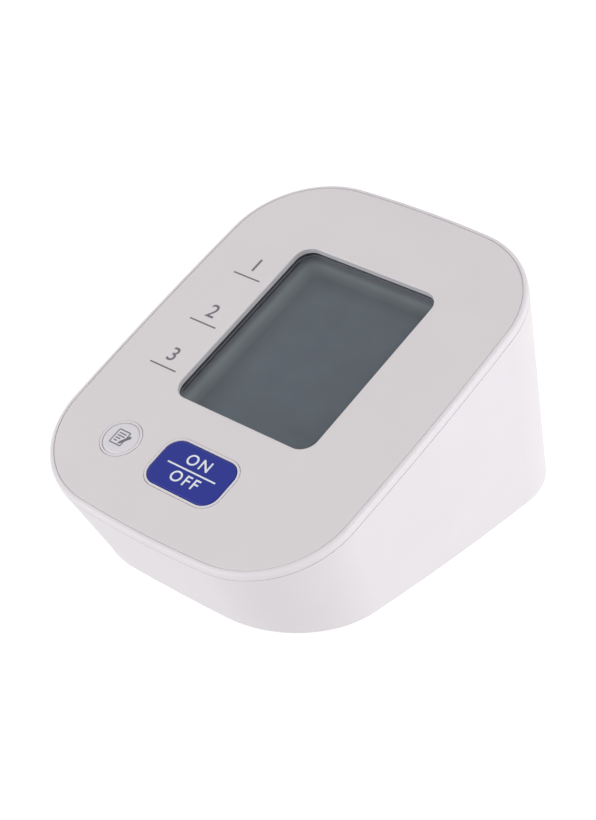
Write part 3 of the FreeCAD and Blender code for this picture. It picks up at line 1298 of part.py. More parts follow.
    screws = []
    for side_x in ("-", "+"):
        for side_y in ("-", "+"):
            item = screw(f"pump_screw_{len(screws)}", "pump_screw", "0", "0", "0")
            screws.append(place(item, f"{side_x}pump_screw_spread/2", f"{side_y}pump_screw_spread/2",
                                cover_top, "-z"))
    node(on_pump(group("pump_screws", screws)), "pump_screws")


# Exhaust valve, drawn along its axis with 0 on the frame's closed end

def valve():
    """The solenoid valve that lets the air out."""
    sheets = [
        box("valve_foot", "valve_sheet", "valve_side", "valve_length", "-(valve_side - valve_sheet)/2"),
        box("valve_closed_end", "valve_side", "valve_side", "valve_sheet"),
        box("valve_open_end", "valve_side", "valve_side", "valve_sheet", z="valve_length - valve_sheet"),
    ]
    holes = [
        rod("valve_core_hole", "core_radius + seat_gap", "valve_sheet + 2*overrun", z="-overrun"),
        rod("valve_nozzle_hole", "nozzle_spigot + seat_gap", "valve_sheet + 2*overrun",
            z="valve_length - valve_sheet - overrun"),
    ]
    node(on_valve(cut("valve_frame", fuse("valve_sheets", sheets), holes)), "valve_frame")
    low, high = "valve_sheet + bobbin_gap", "valve_length - valve_sheet - bobbin_gap"
    tube = "bobbin_bore + bobbin_wall"
    bobbin = turned("valve_bobbin", [
        ("bobbin_bore", low), ("bobbin_flange", low), ("bobbin_flange", f"{low} + bobbin_flange_thickness"),
        (tube, f"{low} + bobbin_flange_thickness"), (tube, f"{high} - bobbin_flange_thickness"),
        ("bobbin_flange", f"{high} - bobbin_flange_thickness"), ("bobbin_flange", high),
        ("bobbin_bore", high)])
    node(on_valve(bobbin), "valve_bobbin")
    near, far = f"{low} + bobbin_flange_thickness + seat_gap", f"{high} - bobbin_flange_thickness - seat_gap"
    winding = turned("valve_coil", [(f"{tube} + seat_gap", near), ("coil_radius", near), ("coil_radius", far),
                                    (f"{tube} + seat_gap", far)])
    node(on_valve(winding), "valve_coil")
    core = turned("valve_core", [("0", "-core_head_height"), ("core_head", "-core_head_height"),
                                 ("core_head", "0"),
                                 ("core_radius", "0"), ("core_radius", "core_length"), ("0", "core_length")])
    node(on_valve(core), "valve_core")
    plunger = turned("valve_plunger", [
        ("0", "plunger_start"), ("plunger_radius", "plunger_start"), ("plunger_radius", "plunger_shoulder"),
        ("plunger_nose", "plunger_shoulder"), ("plunger_nose", "plunger_end"), ("0", "plunger_end")])
    node(on_valve(plunger), "valve_plunger")
    seal = turned("valve_seal", [("0", "plunger_end"), ("plunger_nose", "plunger_end"),
                                 ("plunger_nose", "plunger_end + seal_length"),
                                 ("0", "plunger_end + seal_length")])
    node(on_valve(seal), "valve_seal")
    spring = coil("valve_spring_wire_form", "valve_spring_radius", "valve_spring_radius", "valve_spring_wire",
                  "valve_length - valve_sheet - plunger_shoulder", COUNTS["valve_spring_turns"])
    place(spring, z="plunger_shoulder")
    node(on_valve(group("valve_spring", [spring])), "valve_spring")
    seat = "valve_length - valve_sheet"
    nozzle = turned("valve_nozzle", [
        ("nipple_bore", seat), ("nozzle_spigot", seat), ("nozzle_spigot", "valve_length"),
        ("nozzle_radius", "valve_length"), ("nozzle_radius", "valve_length + nozzle_thickness"),
        ("nipple_radius", "valve_length + nozzle_thickness"),
        ("nipple_radius", "valve_length + nozzle_thickness + nipple_length"),
        ("nipple_bore", "valve_length + nozzle_thickness + nipple_length")])
    node(on_valve(nozzle), "valve_nozzle")


# Air path

def air_jack():
    """The socket of the cuff's hose, with the nipples that join it to pump, valve and sensor."""
    end = "air_body_length + nipple_length"
    flange_end = "air_face_length + air_flange_thickness"
    barrel = turned("air_barrel", [
        ("air_bore_radius + air_bore_lead", "0"), ("air_face_radius", "0"),
        ("air_face_radius", "air_face_length"),
        ("air_flange_radius", "air_face_length"), ("air_flange_radius", flange_end),
        ("air_body_radius", flange_end),
        ("air_body_radius", "air_body_length"), ("nipple_radius", "air_body_length"), ("nipple_radius", end),
        ("nipple_bore", end), ("nipple_bore", "air_bore_depth"), ("air_bore_radius", "air_bore_depth"),
        ("air_bore_radius", "air_bore_lead")])
    place(barrel, AIR_X, AIR_Y, AIR_Z, "x")
    reach = "air_body_radius + nipple_length"
    pump_x, sensor_x = f"{AIR_X} + air_pump_port", f"{AIR_X} + air_sensor_port"
    arms = [rod("pump_port", "nipple_radius", reach, pump_x, AIR_Y, AIR_Z, "-y"),
            upright(rod("sensor_port", "nipple_radius", reach, sensor_x, AIR_Y, AIR_Z))]
    bores = [rod("pump_port_bore", "nipple_bore", f"{reach} + overrun", pump_x, AIR_Y, AIR_Z, "-y"),
             upright(rod("sensor_port_bore", "nipple_bore", f"{reach} + overrun", sensor_x, AIR_Y, AIR_Z))]
    solid = fuse("air_jack_solid", [barrel] + arms)
    node(cut("air_jack", solid, bores), "air_jack")


def upright(item):
    """Turn an object so that its own Z runs along the panel's normal."""
    item.Placement = Placement(item.Placement.Base, Rotation(Vector(1, 0, 0), SIZES["panel_tilt"]))
    bind(item, "Placement.Rotation.Angle", "panel_tilt")
    return item


def hoses():
    """The three silicone hoses between pump, jack, valve and sensor."""
    bore = "nipple_radius + hose_gap"
    ring = [(bore, "0"), ("hose_radius", "0")]
    gap = "valve_hose_length - 2*seat_gap"
    straight = turned("valve_hose", ring + [("hose_radius", gap), (bore, gap)])
    node(place(straight, f"{AIR_X} + air_body_length + seat_gap", AIR_Y, AIR_Z, "x"), "valve_hose")
    start = f"{AIR_W} + air_body_radius + hose_radius/4"
    rise = f"-{BOARD_UNDER} - sensor_height - seat_gap - ({start})"
    riser = turned("sensor_riser", ring + [("hose_radius", rise), (bore, rise)])
    place(riser, f"{AIR_X} + air_sensor_port", AIR_V, start)
    node(on_panel(group("sensor_hose", [riser])), "sensor_hose")
    x = value(f"{AIR_X} + air_pump_port")
    y, z = value(PUMP_Y), value("pump_height")
    end_y, end_z = value(f"{AIR_Y} - air_body_radius - hose_radius/4"), value(AIR_Z)
    start_x = value("pump_place_x - pump_chamber - diaphragm_thickness - valve_plate_thickness"
                    " - cover_plate_thickness - seat_gap")
    run = end_y - y
    first_share, second_share = 0.42, 0.66
    route = [Vector(start_x, y, z), Vector(x, y, z), Vector(x, y + run*first_share, z),
             Vector(x, y + run*second_share, end_z), Vector(x, end_y, end_z)]
    node(bent_tube("pump_hose", route, value("hose_radius"), value(bore)), "pump_hose")


def bent_tube(name, route, radius, bore=0):
    """A tube or a solid lead along straight runs joined by the largest tangent arcs that the runs allow."""
    run_share = 0.45
    edges, spot = [], route[0]
    for before, corner, after in zip(route, route[1:], route[2:]):
        reach = run_share*min((corner - before).Length, (after - corner).Length)
        way_in, way_out = (corner - before).normalize(), (after - corner).normalize()
        turn = way_in.getAngle(way_out)
        arc_start, arc_end = corner - way_in*reach, corner + way_out*reach
        bend = reach/math.tan(turn/2)
        centre_way = (way_out - way_in).normalize()
        crown = corner + centre_way*(bend/math.cos(turn/2) - bend)
        edges.append(Part.LineSegment(spot, arc_start).toShape())
        edges.append(Part.Arc(arc_start, crown, arc_end).toShape())
        spot = arc_end
        print(name, "bend radius", round(bend, 2))
    edges.append(Part.LineSegment(spot, route[-1]).toShape())
    path = Part.Wire(edges)
    way = (route[1] - route[0]).normalize()
    solids = [path.makePipeShell([Part.Wire(Part.Circle(route[0], way, size).toShape())], True, False)
              for size in (radius, bore) if size]
    item = doc.addObject("Part::Feature", name)
    item.Shape = solids[0].cut(solids[1]) if bore else solids[0]
    section = math.pi*(radius**2 - bore**2)
    print(name, "volume over section times length", round(item.Shape.Volume/section/path.Length, 4))
    return item


def panel_point(across, along, up):
    """A point of the panel's frame in the housing's frame."""
    cosine, sine = value("cos(panel_tilt)"), value("sin(panel_tilt)")
    along, up = value(along), value(up)
    return Vector(value(across), value(PANEL_Y) + along*cosine - up*sine,
                  value(PANEL_Z) + along*sine + up*cosine)


def point(x, y, z):
    """A point of the housing's frame from three formulas."""
    return Vector(value(x), value(y), value(z))


def wire_leads():
    """The leads from the cells, the valve and the motor to the board's three headers."""
    low = f"-{BOARD_UNDER} - header_height - wire_drop"

    def into_header(column, side):
        across = f"{header_column(column)} {side} wire_pitch/2"
        return [panel_point(across, HEADER_ROW, low),
                panel_point(across, HEADER_ROW, f"-{BOARD_UNDER} - header_wall - seat_gap")]

    motor_end = "pump_place_x + motor_length + motor_cap_height + motor_terminal_length + seat_gap"
    motor_side = f"{motor_end} + wire_side"
    coil_top = f"{AIR_Z} + coil_radius + seat_gap"
    slot = f"{WELL_FRONT} - well_wall - wire_clear"
    over = f"{AIR_Z} + valve_side/2 + wire_clear"
    first, last = cell_column(0), cell_column(COUNTS["cells"] - 1)
    beside, crossing = f"{first} + wire_pitch", f"{WELL_TOP} + wire_side"
    routes = [
        [point(first, f"{WELL_FRONT} - seat_gap", WIRE_Z), point(first, slot, WIRE_Z),
         point(first, slot, over)]
        + into_header(-1, "-"),
        [point(last, f"{WELL_FRONT} - seat_gap", WIRE_Z), point(last, slot, WIRE_Z),
         point(last, slot, crossing),
         point(beside, slot, crossing), point(beside, slot, over)] + into_header(-1, "+"),
    ]
    for side in ("-", "+"):
        x = f"{VALVE_X} - valve_length/2 {side} wire_pitch/2"
        routes.append([point(x, AIR_Y, coil_top), point(x, AIR_Y,
                                                        f"{coil_top} + wire_rise")] + into_header(0, side))
    for side in ("-", "+"):
        y = f"{PUMP_Y} {side} motor_terminal_place"
        routes.append([point(motor_end, y, "pump_height"), point(motor_side, y, "pump_height"),
                       panel_point(motor_side, f"{HEADER_ROW} - wire_turn {side} wire_pitch/2", low)]
                      + into_header(1, side))
    leads = [bent_tube(f"wire_lead_{index}", route, value("wire_radius"))
             for index, route in enumerate(routes)]
    node(group("wire_leads", leads), "wire_leads")


def dc_jack():
    """The adapter socket behind the back wall, with its pin and its side contact."""
    block_face = f"{DC_FACE} - dc_barrel_length"
    block = box("dc_block", "dc_width", "dc_depth", "dc_height", "dc_place_x", f"{block_face} - dc_depth/2",
                DC_LOW)
    barrel = rod("dc_barrel", "dc_barrel_radius", "dc_barrel_length", "dc_place_x", block_face, DC_Z, "y")
    bore = rod("dc_bore", "dc_bore_radius", "dc_bore_depth + overrun", "dc_place_x",
               f"{DC_FACE} - dc_bore_depth",
               DC_Z, "y")
    pin_hole = rod("dc_pin_hole", "dc_pin_radius + screw_gap", "dc_depth + dc_barrel_length", "dc_place_x",
                   f"{block_face} - dc_depth - overrun", DC_Z, "y")
    slot_low = f"{DC_Z} - dc_bore_radius - dc_contact_thickness - seat_gap"
    slot = box("dc_slot", "dc_contact_width + 2*seat_gap", "dc_bore_depth",
               "dc_contact_thickness + seat_gap + dc_bore_radius",
               "dc_place_x", f"{block_face} - dc_depth - overrun + dc_bore_depth/2", slot_low)
    node(cut("dc_jack", fuse("dc_jack_solid", [block, barrel]), [bore, pin_hole, slot]), "dc_jack")
    tail = f"{block_face} - dc_depth"
    pin = turned("dc_jack_pin", [("0", "0"), ("dc_pin_radius", "0"), ("dc_pin_radius", "dc_depth"),
                                 ("dc_pin_radius/2", "dc_depth + dc_pin_reach"),
                                 ("0", "dc_depth + dc_pin_reach")])
    node(place(pin, "dc_place_x", tail, DC_Z, "y"), "dc_jack_pin")
    strip = box("dc_jack_contact", "dc_contact_width", "dc_bore_depth - 2*overrun", "dc_contact_thickness",
                "dc_place_x",
                f"{tail} + (dc_bore_depth - 2*overrun)/2", f"{slot_low} + seat_gap")
    node(strip, "dc_jack_contact")


def main():
    """Build every piece, check it and write it out."""
    lower_case()
    upper_case()
    faceplate()
    display()
    key("start_button", start_outline, "0")
    key("memory_button", memory_outline, MEMORY_COLUMN)
    push_switch("start_switch", "0")
    push_switch("memory_switch", MEMORY_COLUMN)
    board()
    case_screws()
    motor()
    pump()
    valve()
    air_jack()
    hoses()
    wire_leads()
    dc_jack()
    battery_cover()
    batteries()
    feet()
    doc.recompute()
    broken = [item.Label for item in doc.Objects if {"Invalid", "Error"} & set(item.State)]
    broken += [item.Label for item in NODES if item.Shape.isNull() or not item.Shape.isValid()]
    if broken:
        raise RuntimeError("failed pieces: " + ", ".join(broken))
    os.makedirs("parts", exist_ok=True)
    for item in NODES:
        item.Shape.exportStep(f"parts/{item.Label}.step")
        span = item.Shape.BoundBox
        print(f"{item.Label}: {len(item.Shape.Solids)} solids, {item.Shape.Volume:.1f} mm3,"
              f" {span.XLength:.2f} by {span.YLength:.2f} by {span.ZLength:.2f}")


main()
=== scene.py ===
import json
import logging
import math
from dataclasses import dataclass
from enum import Enum
from functools import partial
from itertools import product
from typing import Callable, ClassVar, Iterable, Protocol, Sequence

import bmesh
import bpy
from mathutils import Euler, Matrix, Vector


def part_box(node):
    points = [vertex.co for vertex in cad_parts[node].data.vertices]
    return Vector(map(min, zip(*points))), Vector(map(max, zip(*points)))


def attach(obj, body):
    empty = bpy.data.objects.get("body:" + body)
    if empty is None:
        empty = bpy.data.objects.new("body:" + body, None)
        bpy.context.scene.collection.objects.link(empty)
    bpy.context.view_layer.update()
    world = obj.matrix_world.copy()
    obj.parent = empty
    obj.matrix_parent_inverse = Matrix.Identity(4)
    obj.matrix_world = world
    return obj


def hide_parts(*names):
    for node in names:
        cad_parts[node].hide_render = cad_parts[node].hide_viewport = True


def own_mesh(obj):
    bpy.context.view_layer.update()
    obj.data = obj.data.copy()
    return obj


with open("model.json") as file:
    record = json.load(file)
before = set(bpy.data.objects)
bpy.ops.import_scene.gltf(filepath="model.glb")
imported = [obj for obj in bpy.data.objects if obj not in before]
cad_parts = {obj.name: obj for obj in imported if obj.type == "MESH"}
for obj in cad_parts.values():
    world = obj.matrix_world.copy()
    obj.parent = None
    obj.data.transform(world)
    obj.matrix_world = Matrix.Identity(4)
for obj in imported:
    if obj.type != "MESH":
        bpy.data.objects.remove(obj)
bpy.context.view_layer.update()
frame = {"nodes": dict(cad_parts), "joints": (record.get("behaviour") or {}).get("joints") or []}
MILLI = 0.001
log = logging.getLogger("monitor")

Colour = tuple[float, float, float]
Point = tuple[float, float]
Triple = tuple[float, float, float]
Drawing = bmesh.types.BMesh
Material = bpy.types.Material
Socket = bpy.types.NodeSocket
Thing = bpy.types.Object


class Body(Enum):
    """The bodies of the part that carry pieces made here."""

    HOUSING = "housing"
    START_KEY = "start_key"
    MEMORY_KEY = "memory_key"
    COVER = "cover"


class Sum(Enum):
    """The arithmetic that joins levels in a material."""

    ADD = "ADD"
    SUBTRACT = "SUBTRACT"
    MULTIPLY = "MULTIPLY"
    POWER = "POWER"
    ABSOLUTE = "ABSOLUTE"
    MAXIMUM = "MAXIMUM"
    SMOOTH_MIN = "SMOOTH_MIN"
    LESS_THAN = "LESS_THAN"


def srgb(red: int, green: int, blue: int) -> Colour:
    """Turn a display colour of 0 to 255 into a linear one.

    Args:
        red: Red level.
        green: Green level.
        blue: Blue level.

    Returns:
        The linear colour.
    """
    def level(step: int) -> float:
        """Turn one level into a linear one."""
        share = step/255
        return share/12.92 if share <= 0.04045 else ((share + 0.055)/1.055)**2.4
    return level(red), level(green), level(blue)


SHELL_WHITE = (0.785, 0.75, 0.785)
PLATE_GREY = (0.765, 0.724, 0.740)
KEY_BLUE = (0.024, 0.036, 0.296)
KEY_WHITE = (0.765, 0.742, 0.79)
# Painted shadow on the display: millimetres from the window's edge and the display's colour there, darker near the
# edges and with a lighter band painted further in
DISPLAY_PAINTED_SHADE = (
    (0.3, (0.290, 0.298, 0.335)), (1.0, (0.275, 0.284, 0.318)), (2.0, (0.237, 0.246, 0.266)),
    (3.5, (0.276, 0.304, 0.302)), (5.5, (0.183, 0.199, 0.211)), (7.5, (0.144, 0.154, 0.169)),
    (12.0, (0.161, 0.179, 0.203)))
# How far raised marks reach into the surface below them, in millimetres
ROOT = 0.05


# Working surfaces

class Surface(Protocol):
    """Anything that small flat pieces can be laid on."""

    def point(self, across: float, along: float, height: float = 0.0) -> Vector:
        """Give a point in the frame from millimetres on the surface."""
        ...


@dataclass(frozen=True)
class Plane:
    """A tilted working plane: its origin and its three directions."""

    origin: Vector
    across: Vector
    along: Vector
    normal: Vector

    def matrix(self) -> Matrix:
        """Give the transform from the plane's own axes to the frame."""
        turn = Matrix((self.across, self.along, self.normal)).transposed()
        return Matrix.Translation(self.origin) @ turn.to_4x4()

    def point(self, across: float, along: float, height: float = 0.0) -> Vector:
        """Give a point in the frame from millimetres to the right, up the plane and above it."""
        return self.origin + (self.across*across + self.along*along + self.normal*height)*MILLI


def cast(node: str, start: Vector, way: Vector) -> tuple[Vector, Vector]:
    """Find where a ray meets a node.

    Args:
        node: The node's name.
        start: Where the ray starts, in metres.
        way: Its direction.

    Returns:
        The spot and the direction out of the surface there.
    """
    thing = frame["nodes"][node]
    place = thing.matrix_world
    turn = place.to_3x3()
    hit, spot, normal, _ = thing.ray_cast(place.inverted() @ start, turn.inverted() @ way)
    if not hit:
        raise ValueError(f"no surface of {node} along a ray from {tuple(start)}")
    return place @ spot, turn @ normal


@dataclass(frozen=True)
class Wall:
    """One side of a node, reached by looking at it from a plane outside it."""

    node: str
    out: Triple
    rise: Triple
    reach: float = 0.12

    def point(self, across: float, along: float, height: float = 0.0) -> Vector:
        """Give a point on the node's side from millimetres on the outer plane.

        Args:
            across: Millimetres to the right.
            along: Millimetres upwards.
            height: Millimetres above the node's surface.

        Returns:
            The point in metres.
        """
        out, rise = Vector(self.out), Vector(self.rise)
        view = Plane(out*self.reach, rise.cross(out), rise, out)
        spot, normal = cast(self.node, view.point(across, along), -out)
        return spot + normal*(height*MILLI)


def panel_plane() -> Plane:
    """Find the panel's plane from the key's axis and the faceplate's box.

    Returns:
        The plane of the faceplate's face, with its origin in the middle.
    """
    press = next(joint for joint in frame["joints"] if joint["name"] == "start_button_press")
    normal = -Vector(press["axis"]).normalized()
    across = Vector((1, 0, 0))
    along = normal.cross(across)
    mesh = frame["nodes"]["faceplate"].data
    top = max(vertex.co.dot(normal) for vertex in mesh.vertices)
    low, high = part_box("faceplate")
    middle = (low + high)/2
    middle.x = 0
    return Plane(middle + normal*(top - middle.dot(normal)), across, along, normal)


# Finishes

class Nodes:
    """A tree of shading nodes that is being laid out."""

    def __init__(self, tree: bpy.types.NodeTree) -> None:
        """Start with a tree."""
        self.tree = tree

    def give(self, target: Socket, value: object) -> None:
        """Set an input, or join it where the value is a socket.

        Args:
            target: The input.
            value: A constant or a socket.
        """
        if isinstance(value, Socket):
            self.tree.links.new(value, target)
        else:
            target.default_value = value

    def fill(self, node: bpy.types.Node, **values: object) -> None:
        """Set or join a node's inputs by their names, with spaces written as underscores."""
        for name, value in values.items():
            self.give(node.inputs[name.replace("_", " ")], value)

    def add(self, kind: str, **values: object) -> bpy.types.Node:
        """Add a node and set or join its inputs.

        Args:
            kind: The node's type name.
            **values: Constants or sockets by the inputs' names, with spaces written as underscores.

        Returns:
            The new node.
        """
        made = self.tree.nodes.new(kind)
        self.fill(made, **values)
        return made

    def place(self) -> Socket:
        """Give the point on the object, in metres."""
        return self.add("ShaderNodeTexCoord").outputs["Object"]

    def within(self, plane: Plane) -> Socket:
        """Give the point in a plane's own axes, in metres.

        Args:
            plane: A plane that is turned about the X axis only.

        Returns:
            The point.
        """
        moved = self.add("ShaderNodeMapping", Vector=self.place(), Location=tuple(-value for value in plane.origin))
        turned = self.add("ShaderNodeVectorRotate", Vector=moved.outputs["Vector"],
                          Angle=-math.atan2(plane.along.z, plane.along.y))
        turned.rotation_type = "X_AXIS"
        return turned.outputs["Vector"]

    def axes(self, source: Socket) -> bpy.types.NodeOutputs:
        """Split a point into its X, Y and Z."""
        return self.add("ShaderNodeSeparateXYZ", Vector=source).outputs

    def blend(self, level: Socket, base: Socket, other: Colour) -> Socket:
        """Change a base colour to another where a level is 1."""
        return self.add("ShaderNodeMixRGB", Fac=level, Color1=base, Color2=(*other, 1.0)).outputs["Color"]

    def noise(self, scale: float, detail: float = 2.0, source: Socket | None = None) -> Socket:
        """Add a noise of so many lumps per metre and octaves, on the object's own point or another."""
        return self.add("ShaderNodeTexNoise", Vector=source or self.place(), Scale=scale, Detail=detail).outputs["Fac"]

    def ramp(self, source: Socket, stops: Sequence[tuple[float, Colour]], stepped: bool = False) -> Socket:
        """Turn a level into a colour.

        Args:
            source: The level.
            stops: Positions and their colours.
            stepped: Whether the colour jumps from stop to stop.

        Returns:
            The colour.
        """
        made = self.add("ShaderNodeValToRGB", Fac=source)
        made.color_ramp.interpolation = "CONSTANT" if stepped else "LINEAR"
        points = made.color_ramp.elements
        while len(points) < len(stops):
            points.new(0.5)
        for point, (position, colour) in zip(points, stops):
            point.position = position
            point.color = (*colour, 1.0)
        return made.outputs["Color"]

    def tint(self, source: Socket, colour: Colour, spread: float) -> Socket:
        """Turn a level into two near shades, each a share away from a colour."""
        shades = ((0.3, 1 - spread), (0.7, 1 + spread))
        return self.ramp(source, [(position, tuple(level*share for level in colour)) for position, share in shades])

    def span(self, source: Socket, low: Socket | float, high: float, start: float = 0.0, end: float = 1.0) -> Socket:
        """Stretch a level between two values.

        Args:
            source: The level.
            low: The value at the start.
            high: The value at the end.
            start: The level where the stretch starts.
            end: The level where it ends.

        Returns:
            The stretched level.
        """
        made = self.add("ShaderNodeMapRange", Value=source, From_Min=start, From_Max=end, To_Min=low, To_Max=high)
        return made.outputs["Result"]

    def sum(self, kind: Sum, *levels: Socket | float) -> Socket:
        """Join levels by a kind of arithmetic.

        Args:
            kind: The arithmetic.
            *levels: Sockets or numbers, in their order.

        Returns:
            The result.
        """
        made = self.add("ShaderNodeMath")
        made.operation = kind.value
        for target, level in zip(made.inputs, levels):
            self.give(target, level)
        return made.outputs["Value"]

    def seen_directly(self) -> Socket:
        """Give 1 for rays that see a thing directly, by a mirror or through glass.

        Returns:
            The level.
        """
        path = self.add("ShaderNodeLightPath")
        level = path.outputs["Is Camera Ray"]
        for name in ("Is Glossy Ray", "Is Transmission Ray"):
            level = self.sum(Sum.MAXIMUM, level, path.outputs[name])
        return level


class Shader(Nodes):
    """The nodes of one material, with a principled surface at its end."""

    def __init__(self, name: str) -> None:
        """Start an empty material.

        Args:
            name: The material's name.
        """
        self.material = bpy.data.materials.new(name)
        self.material.use_nodes = True
        super().__init__(self.material.node_tree)
        self.surface = self.tree.nodes["Principled BSDF"]

    def set(self, **values: object) -> None:
        """Set or join the surface's own sockets."""
        self.fill(self.surface, **values)

    def show(self, source: Socket) -> None:
        """Let the material show another shader than its principled surface."""
        self.fill(self.tree.nodes["Material Output"], Surface=source)

    def bump(self, height: Socket, depth: float) -> None:
        """Raise the surface by a level, whose 1 is a depth in metres."""
        made = self.add("ShaderNodeBump", Height=height, Strength=1.0, Distance=depth)
        self.set(Normal=made.outputs["Normal"])


@dataclass(frozen=True)
class Finish:
    """A surface finish, made into a material when a piece first needs it."""

    made: ClassVar[dict[str, Material]] = {}
    name: str

    def paint(self, shader: Shader) -> None:
        """Lay out the finish's nodes."""
        raise NotImplementedError

    def make(self) -> Material:
        """Build the material, or give it again when it is built already.

        Returns:
            The material.
        """
        if self.name not in self.made:
            shader = Shader(self.name)
            self.paint(shader)
            self.made[self.name] = shader.material
        return self.made[self.name]


@dataclass(frozen=True)
class Moulded(Finish):
    """Moulded plastic with a fine spark-eroded grain."""

    colour: Colour
    roughness: float = 0.42
    grain: float = 5200.0
    depth: float = 0.000006
    spread: float = 0.012
    clouds: float = 55.0
    specular: float = 0.4

    def tone(self, shader: Shader) -> Socket:
        """Give the slightly uneven colour of the plastic."""
        return shader.tint(shader.noise(self.clouds, 3.0), self.colour, self.spread)

    def paint(self, shader: Shader) -> None:
        """Lay out the plastic's nodes.

        Args:
            shader: The material's nodes.
        """
        grain = shader.noise(self.grain, 4.0)
        shader.set(Base_Color=self.tone(shader), Specular_IOR_Level=self.specular,
                   Roughness=shader.span(grain, self.roughness - 0.06, self.roughness + 0.06))
        shader.bump(grain, self.depth)


@dataclass(frozen=True)
class PaintedEdgeShadeSheet(Moulded):
    """A grained plastic sheet with painted shade on its cut edges, which are darker than its face."""

    plane: Plane | None = None
    # Painted shade on the sheet's edges, which form the window's walls
    edge: Colour = (0.60, 0.59, 0.62)
    skin: float = 0.0003

    def tone(self, shader: Shader) -> Socket:
        """Give the sheet's colour, with painted shade below its face."""
        depth = shader.axes(shader.within(self.plane))["Z"]
        return shader.blend(shader.sum(Sum.LESS_THAN, depth, -self.skin), super().tone(shader), self.edge)


@dataclass(frozen=True)
class PaintedShadeShell(Moulded):
    """Moulded plastic with painted shade: a dark patch round the display's opening, where the window's recess lies in
    shade.
    """

    plane: Plane | None = None
    # Colour of the painted shade round the display's opening
    mask: Colour = (0.205, 0.21, 0.228)
    middle: float = 0.0084
    half_width: float = 0.0272
    half_length: float = 0.0336

    def tone(self, shader: Shader) -> Socket:
        """Give the plastic's colour, with painted shade inside the patch's outline.

        Args:
            shader: The material's nodes.

        Returns:
            The colour.
        """
        axes = shader.axes(shader.within(self.plane))
        beside = shader.sum(Sum.MULTIPLY, shader.sum(Sum.ABSOLUTE, axes["X"]), 1/self.half_width)
        along = shader.sum(Sum.ABSOLUTE, shader.sum(Sum.SUBTRACT, axes["Y"], self.middle))
        reach = shader.sum(Sum.MAXIMUM, beside, shader.sum(Sum.MULTIPLY, along, 1/self.half_length))
        return shader.blend(shader.sum(Sum.LESS_THAN, reach, 1.0), super().tone(shader), self.mask)


@dataclass(frozen=True)
class Ink(Finish):
    """Pad-printed ink with slightly uneven cover."""

    colour: Colour
    roughness: float = 0.5

    def paint(self, shader: Shader) -> None:
        """Lay out the ink's nodes."""
        speckle = shader.noise(9000.0, 3.0)
        shader.set(Base_Color=shader.tint(speckle, self.colour, 0.05),
                   Roughness=shader.span(speckle, self.roughness - 0.08, self.roughness + 0.08))


@dataclass(frozen=True)
class Clear(Finish):
    """Clear acrylic that lets light straight through, with a faint tint that is never quite even."""

    colour: Colour = (0.93, 0.94, 0.945)

    def paint(self, shader: Shader) -> None:
        """Lay out the acrylic's nodes."""
        tint = shader.tint(shader.noise(140.0, 2.0), self.colour, 0.012)
        shader.show(shader.add("ShaderNodeBsdfTransparent", Color=tint).outputs["BSDF"])


@dataclass(frozen=True)
class Metal(Finish):
    """Plated or drawn metal with fine lines along one axis."""

    colour: Colour
    roughness: float = 0.28
    stretch: Triple = (60.0, 2600.0, 2600.0)

    def paint(self, shader: Shader) -> None:
        """Lay out the metal's nodes.

        Args:
            shader: The material's nodes.
        """
        mapping = shader.add("ShaderNodeMapping", Vector=shader.place(), Scale=self.stretch)
        lines = shader.noise(1.0, 4.0, mapping.outputs["Vector"])
        shader.set(Base_Color=shader.tint(lines, self.colour, 0.06), Metallic=1.0,
                   Roughness=shader.span(lines, self.roughness - 0.08, self.roughness + 0.1))
        shader.bump(lines, 0.000004)


@dataclass(frozen=True)
class Rubber(Finish):
    """Soft moulded rubber or silicone."""

    colour: Colour
    roughness: float = 0.72
    translucence: float = 0.0

    def paint(self, shader: Shader) -> None:
        """Lay out the rubber's nodes.

        Args:
            shader: The material's nodes.
        """
        place = shader.place()
        pores = shader.noise(3200.0, 3.0, place)
        shader.set(Base_Color=shader.tint(shader.noise(260.0, 4.0, place), self.colour, 0.08),
                   Roughness=shader.span(pores, self.roughness - 0.1, self.roughness + 0.08),
                   Subsurface_Weight=self.translucence, Subsurface_Scale=0.002)
        shader.bump(pores, 0.00001)


@dataclass(frozen=True)
class Laminate(Finish):
    """Solder mask over a woven glass board, with copper showing through."""

    plane: Plane
    mask: Colour = (0.012, 0.10, 0.035)
    copper: Colour = (0.03, 0.17, 0.06)
    pitch: float = 0.0032

    def paint(self, shader: Shader) -> None:
        """Lay out the board's nodes.

        Args:
            shader: The material's nodes.
        """
        place = shader.within(self.plane)
        tracks = shader.add("ShaderNodeTexBrick", Vector=place, Scale=1/self.pitch, Mortar_Size=0.09, Mortar_Smooth=0.1,
                            Color1=(*self.mask, 1.0), Color2=(*(level*0.86 for level in self.mask), 1.0),
                            Mortar=(*self.copper, 1.0))
        weave = shader.noise(2400.0, 2.0, place)
        shader.set(Base_Color=tracks.outputs["Color"], Roughness=shader.span(weave, 0.3, 0.46))
        shader.bump(shader.sum(Sum.ADD, weave, tracks.outputs["Fac"]), 0.00001)


@dataclass(frozen=True)
class Jacket(Finish):
    """A cell's printed jacket: a plain body colour with a bright band near its top end."""

    centre: float
    reach: float
    body: Colour = (0.02, 0.05, 0.03)
    band: Colour = (0.55, 0.33, 0.10)
    steel: Colour = srgb(196, 196, 198)
    foot_share: float = 0.012
    band_share: float = 0.62
    top_share: float = 0.974

    def paint(self, shader: Shader) -> None:
        """Lay out the jacket's nodes.

        Args:
            shader: The material's nodes.
        """
        place = shader.axes(shader.place())["Y"]
        along = shader.span(place, 0.0, 1.0, self.centre - self.reach, self.centre + self.reach)
        stops = [(0.0, self.steel), (self.foot_share, self.body), (self.band_share, self.band),
                 (self.top_share, self.steel)]
        scuff = shader.noise(900.0, 4.0)
        shader.set(Base_Color=shader.ramp(along, stops, stepped=True), Roughness=shader.span(scuff, 0.2, 0.36),
                   Metallic=0.35, Coat_Weight=0.4)
        shader.bump(scuff, 0.0000015)


